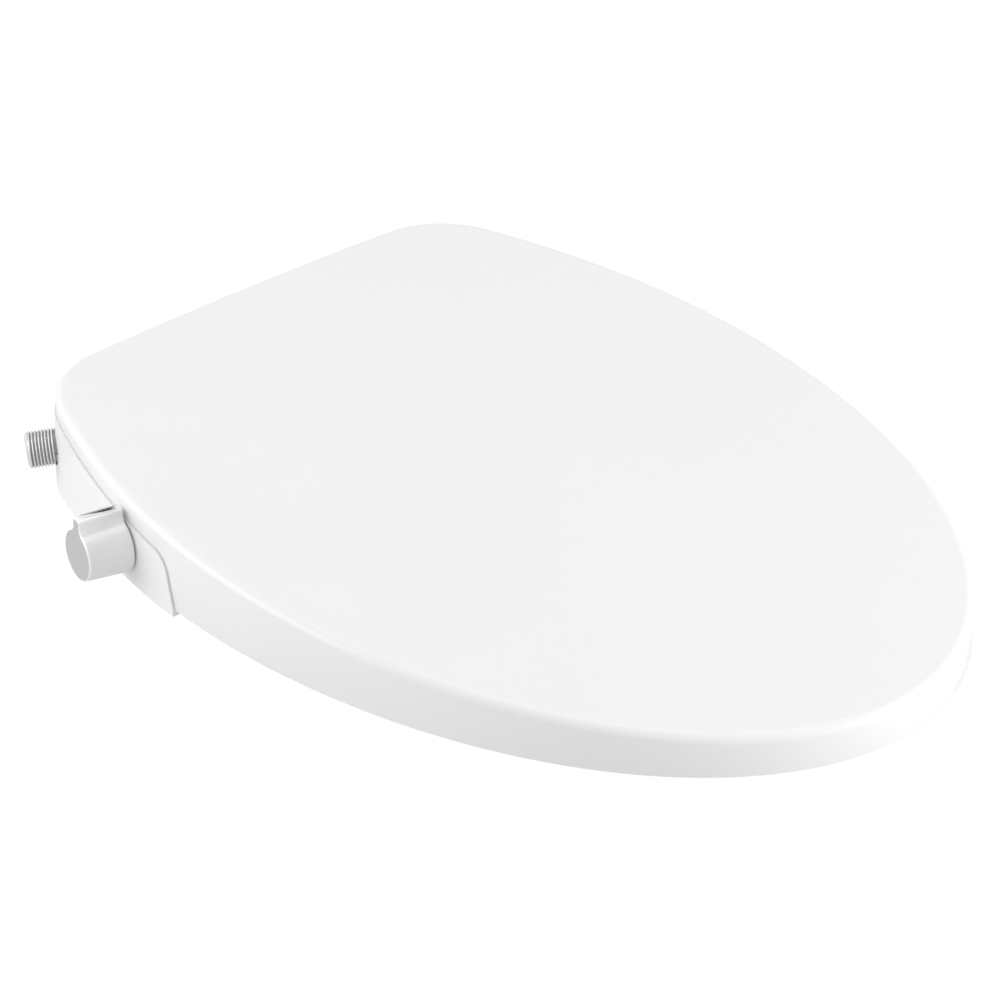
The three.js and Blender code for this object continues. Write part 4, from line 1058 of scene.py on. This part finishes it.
def build_underside():
    """The pan with its ribs, the feet and the screws."""
    low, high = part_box("base_pan")
    plate_low, plate_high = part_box("mounting_plate")
    inside = offset(outline(), 0.0006 - BASE_WALL - 0.0003)
    pan = loft("pan", [at_height(inside, low.z), at_height(inside, low.z + 0.002)])
    keep(pan, box((-FAR, low.y, -0.001), (FAR, high.y + 0.01, 0.02)))
    cut(pan, front_arc(BASE_WALL + 0.0003))
    grow = 0.0025
    join(pan, box((plate_low.x - grow, plate_low.y - grow, low.z),
                  (plate_high.x + grow, plate_high.y + grow, high.z)))
    cut(pan, box((plate_low.x - 0.0003, plate_low.y - 0.0003, -0.001),
                 (plate_high.x + 0.0003, plate_high.y + 0.0003, plate_high.z + 0.0003)))
    screws = [f"pan_screw_{row}_{hand}" for row in (1, 2, 3) for hand, _ in SIDES]
    spots = [((lo.x + hi.x) / 2, (lo.y + hi.y) / 2, lo.z) for lo, hi in map(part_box, screws)]
    wells = [place(turned("well", [(0.0035, -0.001), (0.0035, 0.0024)], 32),
                   Matrix.Translation((x, y, 0))) for x, y, _ in spots]
    bores = [place(turned("bore", [(0.0018, -0.001), (0.0018, 0.02)], 24),
                   Matrix.Translation((x, y, 0))) for x, y, _ in spots]
    cut(pan, *wells, *bores)
    # Shallow stiffening grooves on the pan's underside, clear of the plate.
    for y in (-0.052, -0.06, -0.068):
        groove = box((-0.11, y, 0.0), (0.11, y + 0.0016, low.z + 0.0005))
        cut(pan, groove)
    soften(pan, 0.0003)
    finish(pan, "pan", "white_satin", "base", ["base_pan"])

    screw = turned("screw", rounded(0.0032, 0, 0.0008, 0.0002, 2, 0.0003), 32)
    join(screw, turned("shank", [(0.0015, 0.0004), (0.0015, 0.0105), (0.0004, 0.0115)], 20))
    for turn in (0, 90):
        bar = box((-0.0019, -0.00035, -0.001), (0.0019, 0.00035, 0.0005))
        cut(screw, place(bar, Matrix.Rotation(math.radians(turn), 4, "Z")))
    finish(scattered("screws", screw, spots, "steel"), "pan_screws", "steel", "base", screws)

    feet = [f"base_foot_{end}_{hand}" for end in ("front", "rear") for hand, _ in SIDES]
    foot = turned("foot", rounded(0.0075, 0, 0.0012, 0.0003, 3, 0.0005), 48)
    spots = [((lo.x + hi.x) / 2, (lo.y + hi.y) / 2, 0) for lo, hi in map(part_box, feet)]
    finish(scattered("feet", foot, spots, "rubber"), "base_feet", "rubber", "base", feet)


def build_mounting_plate():
    """The plate bolted to the bowl, its serrated slots and the sliding blocks."""
    low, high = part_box("mounting_plate")
    plate = box(low, high)
    blocks = []
    for hand, _ in SIDES:
        block_low, block_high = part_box(f"slot_block_{hand}")
        x = (block_low.x + block_high.x) / 2
        middle = (low.y + high.y) / 2
        slot = box((x - 0.01, middle - 0.025, -0.001), (x + 0.01, middle + 0.025, high.z + 0.001))
        cut(plate, slot)
        block = box(block_low, block_high)
        bolt = turned("bolt", [(0.0042, -0.001), (0.0042, 0.01)], 40)
        seat = turned("seat", [(0.0075, high.z - 0.0018), (0.0075, 0.01)], 6)
        for tool in (bolt, seat):
            place(tool, Matrix.Translation((x, 0, 0)))
        cut(block, bolt, seat)
        blocks.append(block)
    lines = [
        box((x - 0.0006, low.y + 0.006, high.z - 0.0012), (x + 0.0006, high.y - 0.006, high.z + 0.001))
        for x in (-0.045, -0.03, -0.015, 0.015, 0.03, 0.045)
    ]
    cut(plate, *lines)
    soften(plate, 0.0005)
    finish(plate, "bowl_plate", "grey_plastic", "base", ["mounting_plate"])
    for (hand, _), block in zip(SIDES, blocks):
        soften(block, 0.0004)
        finish(block, f"bolt_block_{hand}", "grey_plastic", "base", [f"slot_block_{hand}"])


def build_hinges():
    """The dampers in the towers and the pins of the ring's lugs."""
    for hand, side in SIDES:
        low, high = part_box(f"hinge_damper_{hand}")
        span = high.x - low.x
        damper = turned("damper", rounded(0.0054, 0, 0.012, 0.0005, 3), 48)
        join(damper, turned("shaft", rounded(SHAFT_RADIUS, 0.001, span, 0.0004, 3), 40))
        flat = box((SHAFT_RADIUS - 0.0007, -0.01, 0.0125), (0.01, 0.01, span + 0.001))
        cut(damper, flat)
        turn = Matrix.Rotation(side * math.pi / 2, 4, "Y")
        start = low.x if side > 0 else high.x
        place(damper, Matrix.Translation((start, HINGE.y, HINGE.z)) @ turn)
        finish(damper, f"damper_{hand}", "grey_plastic", "base", [f"hinge_damper_{hand}"])
        low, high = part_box(f"hinge_pin_{hand}")
        span = high.x - low.x
        pin = turned("pin", rounded(SHAFT_RADIUS, 0, span, 0.0005, 3), 40)
        join(pin, turned("head", rounded(0.0054, span - 0.0037, span, 0.0004, 3), 48))
        start = low.x if side > 0 else high.x
        place(pin, Matrix.Translation((start, HINGE.y, HINGE.z)) @ turn)
        finish(pin, f"pin_{hand}", "steel", "base", [f"hinge_pin_{hand}"])


# ------------------------------------------------------------------ knob


def knob_section(radius, tab_half, tab_top, blend):
    """The knob's cross-section: a circle with a raised tab whose sides flow into it."""
    turn0 = math.asin((tab_half + blend) / (radius + blend))
    points = []
    arc_steps = 96
    for i in range(arc_steps + 1):
        turn = math.pi / 2 + turn0 + (2 * math.pi - 2 * turn0) * i / arc_steps
        points.append((radius * math.cos(turn), radius * math.sin(turn)))
    middle = (tab_half + blend, (radius + blend) * math.cos(turn0))
    steps = 8
    right = []
    start = -math.pi / 2 - turn0
    for i in range(1, steps + 1):
        turn = start + (-math.pi - start) * i / steps
        right.append((middle[0] + blend * math.cos(turn), middle[1] + blend * math.sin(turn)))
    lip = 0.0012
    for i in range(5):
        turn = i / 4 * math.pi / 2
        right.append((tab_half - lip * (1 - math.cos(turn)), tab_top - lip * (1 - math.sin(turn))))
    points += right
    points += [(-x, y) for x, y in reversed(right)]
    return points


def along_knob(vertex):
    """How far out along the knob's axis a vertex of the frame's node is."""
    return (Vector(vertex.co) - KNOB_PLACE).dot(KNOB_AXIS)


def build_knob():
    """The valve knob: body with its hollow pointer tab, and its face disc."""
    k = bpy.context.scene.bidet_knob
    lie = knob_matrix()
    reaches = [along_knob(v) for v in frame["nodes"]["knob_body"].data.vertices]
    reach, foot = max(reaches), min(reaches) - 0.0006
    blend = 0.0055
    taper = (k.base_radius - k.face_radius) / (reach - foot)
    levels = []
    for z, inset in ((foot, 0.0008), (foot + 0.0003, 0.0003), (foot + 0.0008, 0.0),
                     (reach - k.rim, 0.0), (reach - k.rim * 0.1, k.rim * 0.75), (reach, k.rim)):
        radius = k.base_radius - taper * (z - foot)
        section = knob_section(radius - inset, k.tab_width / 2 - inset, k.tab_radius - inset,
                               blend + inset)
        levels.append([Vector((x, y, z)) for x, y in section])
    body = loft("knob", levels)
    plan = knob_section(k.face_radius - k.rim, k.tab_width / 2 - k.rim, k.tab_radius - k.rim,
                        blend + k.rim)
    recess = loft("recess", [[Vector((x, y, z)) for x, y in plan]
                             for z in (reach - 0.0005, reach + 0.001)])
    seat = turned("seat", [(0.0128, reach - 0.0026), (0.0128, reach + 0.001)], 96)
    socket = turned("socket", [(0.0043, 0.0), (0.0043, 0.014)], 32)
    hole = turned("hole", [(0.0018, 0.0), (0.0018, reach + 0.002)], 24)
    # The tab is open on top: a finger trough with a deeper slot along its rear wall.
    half = k.tab_width / 2 - 0.0005
    trough = [(-half, -0.0007), (-half * 0.5, -0.0012), (half * 0.4, -0.0008), (half, 0.0002),
              (half, 0.004), (-half, 0.004)]
    hollow = loft("trough", [
        [Vector((x * w, k.tab_radius + y - drop, z)) for x, y in trough]
        for z, w, drop in ((foot - 0.001, 1.0, 0.0004), (foot + 0.012, 1.0, 0.0002),
                           (reach - 0.004, 0.97, -0.0002), (reach - 0.0022, 0.9, -0.0012))
    ])
    # The slot is a crescent seen from above: widest towards the housing.
    slot = loft("slot", [
        [Vector((x, k.tab_radius + y, z)) for x, y in
         ((-half, -0.0075), (-half + width, -0.0075), (-half + width, 0.001), (-half, 0.001))]
        for z, width in ((foot + 0.0022, 0.0003), (foot + 0.0045, 0.0011), (foot + 0.009, 0.0013),
                         (foot + 0.0145, 0.001), (reach - 0.0055, 0.0005), (reach - 0.0035, 0.0001))
    ])
    cut(body, recess, seat, socket, hole, hollow, slot)
    finish(place(body, lie), "knob_shell", "knob_silver", "knob", ["knob_body"], 24)

    edge = offset(plan, -0.0001)
    top = reach - 0.0001
    disc = loft("disc", [[Vector((x, y, z)) for x, y in ring] for ring, z in (
        (edge, reach - 0.00045), (edge, top - 0.0001), (offset(edge, -0.0001), top))])
    join(disc, turned("boss", [(0.0126, reach - 0.0016), (0.0126, reach - 0.0003)], 96))
    finish(place(disc, lie), "knob_disc", "knob_face", "knob", ["knob_cap"], 28)


# ------------------------------------------------------------------ inlet


def build_inlet():
    """The threaded inlet: a bored nipple with a wound thread, and its screen."""
    s = bpy.context.scene.bidet_inlet
    lie = inlet_matrix()
    tail = 0.026
    root = s.crest_radius - s.thread_depth
    core = turned("core", [
        (s.crest_radius - 0.002, -tail), (s.crest_radius - 0.002, -0.0208),
        (s.crest_radius, -0.0207), (s.crest_radius, -0.0172),
        (root, -0.0166), (root, -0.0022), (root + 0.0006, -0.0016), (root + 0.0004, -0.0008),
        (root - 0.0006, -0.0002), (root - 0.0009, 0),
    ], 96)
    cut(core, turned("bore", [(s.bore, -tail - 0.001), (s.bore, -0.0008), (s.bore + 0.0012, 0.0006)], 72))

    tree = Tree("thread")
    run = 0.0155
    spiral = tree.add("GeometryNodeCurveSpiral", {
        "Resolution": tree.number("Steps per turn", 64, True),
        "Rotations": tree.number("Turns", run / s.pitch),
        "Start Radius": tree.number("Root radius", root),
        "End Radius": tree.number("End radius", root),
        "Height": tree.number("Length", run),
    })
    half = s.pitch * 0.46
    ridge = bpy.data.curves.new("ridge", "CURVE")
    ridge.dimensions = "2D"
    line = ridge.splines.new("POLY")
    # The sweep turns the section's +x towards the axis.
    corners = [(0.0003, -half), (-s.thread_depth * 0.88, -0.0002),
               (-s.thread_depth, 0.0), (-s.thread_depth * 0.88, 0.0002), (0.0003, half)]
    line.points.add(len(corners) - 1)
    for point, (x, y) in zip(line.points, corners):
        point.co = (x, y, 0, 1)
    line.use_cyclic_u = True
    section = new_object("ridge", ridge)
    profile = tree.add("GeometryNodeObjectInfo", {"Object": tree.object("Ridge", section)})
    upright = tree.add("GeometryNodeSetCurveNormal", {"Curve": spiral.outputs["Curve"]}, mode="Z_UP")
    swept = tree.add("GeometryNodeCurveToMesh", {
        "Curve": upright.outputs["Curve"],
        "Profile Curve": profile.outputs["Geometry"],
        "Fill Caps": True,
    })
    thread = tree.build("thread", swept.outputs["Mesh"], "nickel")
    bpy.data.objects.remove(section)
    place(thread, Matrix.Translation((0, 0, -0.0164)))
    # The thread runs out under a chamfer at the mouth.
    work = bmesh.new()
    work.from_mesh(thread.data)
    for vert in work.verts:
        reach = math.hypot(vert.co.x, vert.co.y)
        most = s.crest_radius - max(0.0, vert.co.z + 0.0022) * 0.9
        if reach > most:
            vert.co.x *= most / reach
            vert.co.y *= most / reach
    bmesh.ops.recalc_face_normals(work, faces=work.faces)
    work.to_mesh(thread.data)
    work.free()
    finish(place(core, lie), "inlet_body", "nickel", "base", ["inlet_nipple"])
    finish(place(thread, lie), "inlet_thread", "nickel", "base", [], 50)

    screen = turned("screen", [(0.0064, -0.0105), (0.0064, -0.0098)], 48)
    holes = []
    for i in range(-4, 5):
        for j in range(-4, 5):
            x, y = i * 0.00135, j * 0.00135
            if math.hypot(x, y) < 0.0056:
                pin = turned("pin", [(0.00048, -0.012), (0.00048, -0.008)], 10)
                holes.append(place(pin, Matrix.Translation((x, y, 0))))
    cut(screen, *holes)
    finish(place(screen, lie), "inlet_strainer", "steel", "base", ["inlet_screen"])


# ------------------------------------------------------------------ wands, gate and water path


def shorten(spring):
    """Gives a spring a mesh of its own."""
    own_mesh(spring)


def wand_matrix(x):
    """A wand's local frame, z along its slide."""
    front = Vector((0, -0.073, 0.0105))
    up = Vector((1, 0, 0)).cross(WAND_AXIS) * -1
    turn = Matrix((Vector((1, 0, 0)), up, WAND_AXIS)).transposed().to_4x4()
    return Matrix.Translation(front + Vector((x, 0, 0))) @ turn


def build_wands():
    """The two wands with their nozzle tips, and their return springs."""
    for name in ("rear", "front"):
        low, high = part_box(f"{name}_wand_tip")
        x = (low.x + high.x) / 2
        lie = wand_matrix(x)
        wand = turned("wand", rounded(0.0046, -0.070, -0.010, 0.0003, 2), 48)
        join(wand, turned("collar", rounded(0.0062, -0.070, -0.067, 0.0004, 3), 48))
        finish(place(wand, lie), f"{name}_stem", "white_satin", f"{name}_wand",
               [f"{name}_wand"])
        tip = turned("tip", rounded(0.0046, -0.0097, 0.004, 0.0016, 6, 0.0003), 64)
        flat = box((-0.0022, 0.0041, -0.0045), (0.0022, 0.006, 0.0022))
        jets = [place(turned("jet", [(0.00045, 0), (0.00045, 0.006)], 16),
                      Matrix.Translation((jet_x, 0, jet_z)) @ Matrix.Rotation(-math.pi / 2, 4, "X"))
                for jet_x, jet_z in ((0, -0.001), (-0.0011, 0.0006), (0.0011, 0.0006))]
        cut(tip, flat, *jets)
        band = turned("band", [(0.0052, -0.0082), (0.0052, -0.0078)], 64)
        cut(band, turned("inner", [(0.0043, -0.009), (0.0043, -0.007)], 64))
        cut(tip, band)
        finish(place(tip, lie), f"{name}_nozzle", "white_gloss", f"{name}_wand",
               [f"{name}_wand_tip"])
        spring_rear, spring_length = -0.0657, 0.0582
        spring = coil(f"{name}_spring_wire", 0.0056, 0.00045, spring_length, 8, "steel")
        place(spring, lie @ Matrix.Translation((0, 0, spring_rear)))
        finish(spring, f"{name}_spring", "steel", "base", [f"{name}_wand_spring"], 60)
        shorten(spring)


def build_gate():
    """The hinged gate over the wands, with its ribs."""
    low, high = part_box("wand_gate")
    half = 0.021
    y, z = GATE_PLACE.y, GATE_PLACE.z
    gate = box((-half, y - 0.0011, low.z), (half, y + 0.0011, z))
    join(gate, cross_bar(0.0024, -half, half, y, z, 40), cross_bar(0.0012, low.x, high.x, y, z, 24))
    for i in range(-3, 4):
        x = i * 0.0055
        cut(gate, box((x - 0.0009, y - 0.003, low.z + 0.003), (x + 0.0009, y - 0.0006, z - 0.0045)))
    soften(gate, 0.0003)
    finish(gate, "gate", "white_satin", "gate", ["wand_gate"])


def build_button():
    """The release button on the flank and its spring."""
    lie = wall_matrix(button_place(), BUTTON_AXIS)
    cap = turned("cap", [
        (0.005, -0.0192), (0.005, -0.0112), (0.01, -0.0112), (0.01, -0.0092), (0.008, -0.0092),
        (0.008, 0.0006), (0.0078, 0.0012), (0.0074, 0.0016), (0.0068, 0.0018),
        (0.0052, 0.0018), (0.0046, 0.0016), (0.0038, 0.0013), (0.002, 0.00115),
    ], 72)
    finish(place(cap, lie), "button", "white_gloss", "button", ["release_button"])
    spring_inner, spring_length = -0.0222, 0.01
    spring = coil("button_coil", 0.0066, 0.0005, spring_length, 4, "steel")
    place(spring, lie @ Matrix.Translation((0, 0, spring_inner)))
    finish(spring, "button_spring", "steel", "base", ["release_spring"], 60)
    shorten(spring)


def paint_frame_nodes():
    """Gives the CAD nodes that stay in view their finishes."""
    slots = {s["node"]: s["material_slot"] for s in frame["record"]["subparts"]}
    for name, obj in frame["nodes"].items():
        obj.data.materials.clear()
        obj.data.materials.append(FINISHES[slots[name]])


# ------------------------------------------------------------------ stage

WORLD = 0.72
# The floor's glow on the object, and as it is seen.
FLOOR = (0.68, 1.0)
# Name, azimuth and elevation in degrees, distance and side in metres, power in watts.
LIGHTS = (
    ("overhead", 48, 78, 1.8, 1.2, 4.0),
    ("left", 141, 14, 1.8, 1.5, 15.5),
    ("right", -60, 10, 1.8, 0.8, 16.0),
)


def build_stage():
    """A plain pale floor, soft studio light and the camera."""
    scene = bpy.context.scene
    scene.view_settings.view_transform = "Standard"
    scene.view_settings.look = "None"

    floor = new_object("floor", bpy.data.meshes.new("floor"))
    reach = 30.0
    floor.data.from_pydata(
        [(-reach, -reach, -0.0002), (reach, -reach, -0.0002),
         (reach, reach, -0.0002), (-reach, reach, -0.0002)], [], [(0, 1, 2, 3)])
    paper, principled = shader("paper", (0.02, 0.02, 0.02, 1.0), 1.0, Specular_IOR_Level=0.0)
    principled.inputs["Emission Color"].default_value = (1, 1, 1, 1)
    principled.inputs["Emission Strength"].default_value = FLOOR[1]
    tree = paper.node_tree
    path = node(tree, "ShaderNodeLightPath")
    level = node(tree, "ShaderNodeMapRange")
    level.inputs["To Min"].default_value = FLOOR[0]
    level.inputs["To Max"].default_value = FLOOR[1]
    tree.links.new(path.outputs["Is Camera Ray"], level.inputs["Value"])
    tree.links.new(level.outputs["Result"], principled.inputs["Emission Strength"])
    floor.data.materials.append(paper)

    world = bpy.data.worlds.new("studio")
    world.use_nodes = True
    world.node_tree.nodes["Background"].inputs["Color"].default_value = (1, 1, 1, 1)
    world.node_tree.nodes["Background"].inputs["Strength"].default_value = WORLD
    scene.world = world

    middle = Vector((0, -0.2, 0.03))
    for name, azimuth, elevation, far, size, watts in LIGHTS:
        a, e = math.radians(azimuth), math.radians(elevation)
        light = bpy.data.lights.new(name, "AREA")
        light.shape = "SQUARE"
        light.size = size
        light.energy = watts
        lamp = new_object(name, light)
        way = Vector((math.cos(a) * math.cos(e), math.sin(a) * math.cos(e), math.sin(e)))
        lamp.location = middle + way * far
        lamp.rotation_euler = (-way).to_track_quat("-Z", "Y").to_euler()

    camera_data = bpy.data.cameras.new("camera")
    camera_data.sensor_fit = "HORIZONTAL"
    camera_data.sensor_width = 36.0
    camera_data.lens = 180.0
    camera_data.clip_end = 100.0
    camera = new_object("camera", camera_data)
    azimuth, elevation = math.radians(-42.26), math.radians(30.47)
    back = Vector((math.sin(azimuth) * math.cos(elevation),
                   -math.cos(azimuth) * math.cos(elevation), math.sin(elevation)))
    target = Vector((0.0103, -0.1515, 0.005))
    camera.location = target + back * 2.7095
    camera.rotation_euler = (-back).to_track_quat("-Z", "Y").to_euler()
    scene.camera = camera


# ------------------------------------------------------------------ add-on


class StepBase:
    """What every building step shares."""

    bl_options = {"REGISTER", "UNDO"}

    def execute(self, context):
        """Builds the pieces of this step."""
        for build in self.builds:
            build()
        return {"FINISHED"}


class BIDET_OT_stage(StepBase, bpy.types.Operator):
    """Makes the floor, the lights, the camera and the finishes"""

    bl_idname = "bidet.stage"
    bl_label = "Stage and finishes"

    def execute(self, context):
        """Builds the stage, then the finishes, and paints the frame's nodes."""
        build_stage()
        FINISHES.update(make_finishes())
        paint_frame_nodes()
        return {"FINISHED"}


class BIDET_OT_lid(StepBase, bpy.types.Operator):
    """Makes the lid and its pads"""

    bl_idname = "bidet.lid"
    bl_label = "Lid"
    builds = (build_lid, build_lid_pads)


class BIDET_OT_ring(StepBase, bpy.types.Operator):
    """Makes the seat ring, its cover and its bumpers"""

    bl_idname = "bidet.ring"
    bl_label = "Seat ring"
    builds = (build_ring,)


class BIDET_OT_housing(StepBase, bpy.types.Operator):
    """Makes the housing's cover"""

    bl_idname = "bidet.housing"
    bl_label = "Housing"
    builds = (build_housing,)


class BIDET_OT_underside(StepBase, bpy.types.Operator):
    """Makes the pan, the mounting plate, the feet and the screws"""

    bl_idname = "bidet.underside"
    bl_label = "Underside"
    builds = (build_underside, build_mounting_plate)


class BIDET_OT_hinges(StepBase, bpy.types.Operator):
    """Makes the hinge dampers and pins"""

    bl_idname = "bidet.hinges"
    bl_label = "Hinges"
    builds = (build_hinges,)


class BIDET_OT_knob(StepBase, bpy.types.Operator):
    """Makes the valve knob"""

    bl_idname = "bidet.knob"
    bl_label = "Valve knob"
    builds = (build_knob,)


class BIDET_OT_inlet(StepBase, bpy.types.Operator):
    """Makes the threaded water inlet"""

    bl_idname = "bidet.inlet"
    bl_label = "Water inlet"
    builds = (build_inlet,)


class BIDET_OT_wands(StepBase, bpy.types.Operator):
    """Makes the wands, their springs and the gate"""

    bl_idname = "bidet.wands"
    bl_label = "Wands and gate"
    builds = (build_wands, build_gate)


class BIDET_OT_button(StepBase, bpy.types.Operator):
    """Makes the release button"""

    bl_idname = "bidet.button"
    bl_label = "Release button"
    builds = (build_button,)


STEPS = (
    BIDET_OT_stage, BIDET_OT_lid, BIDET_OT_ring, BIDET_OT_housing, BIDET_OT_underside,
    BIDET_OT_hinges, BIDET_OT_knob, BIDET_OT_inlet, BIDET_OT_wands, BIDET_OT_button,
)


class BIDET_PT_panel(bpy.types.Panel):
    """Lists the steps and the settings in the 3D view's sidebar"""

    bl_label = "Bidet seat"
    bl_idname = "BIDET_PT_panel"
    bl_space_type = "VIEW_3D"
    bl_region_type = "UI"
    bl_category = "Bidet Seat"

    def draw(self, context):
        """Draws one button for each step and one box for each group of settings."""
        for step in STEPS:
            self.layout.operator(step.bl_idname)
        for name, group in SETTINGS.items():
            area = self.layout.box()
            for field in group.__annotations__:
                area.prop(getattr(context.scene, name), field)


def register():
    """Registers the settings, the steps and the panel."""
    for name, group in SETTINGS.items():
        bpy.utils.register_class(group)
        setattr(bpy.types.Scene, name, bpy.props.PointerProperty(type=group))
    for cls in (*STEPS, BIDET_PT_panel):
        bpy.utils.register_class(cls)


def unregister():
    """Removes what register() added."""
    for cls in reversed((*STEPS, BIDET_PT_panel)):
        bpy.utils.unregister_class(cls)
    for name, group in SETTINGS.items():
        delattr(bpy.types.Scene, name)
        bpy.utils.unregister_class(group)


def main():
    """Builds everything in order."""
    register()
    for step in STEPS:
        category, name = step.bl_idname.split(".")
        getattr(getattr(bpy.ops, category), name)()


if __name__ == "__main__":
    main()
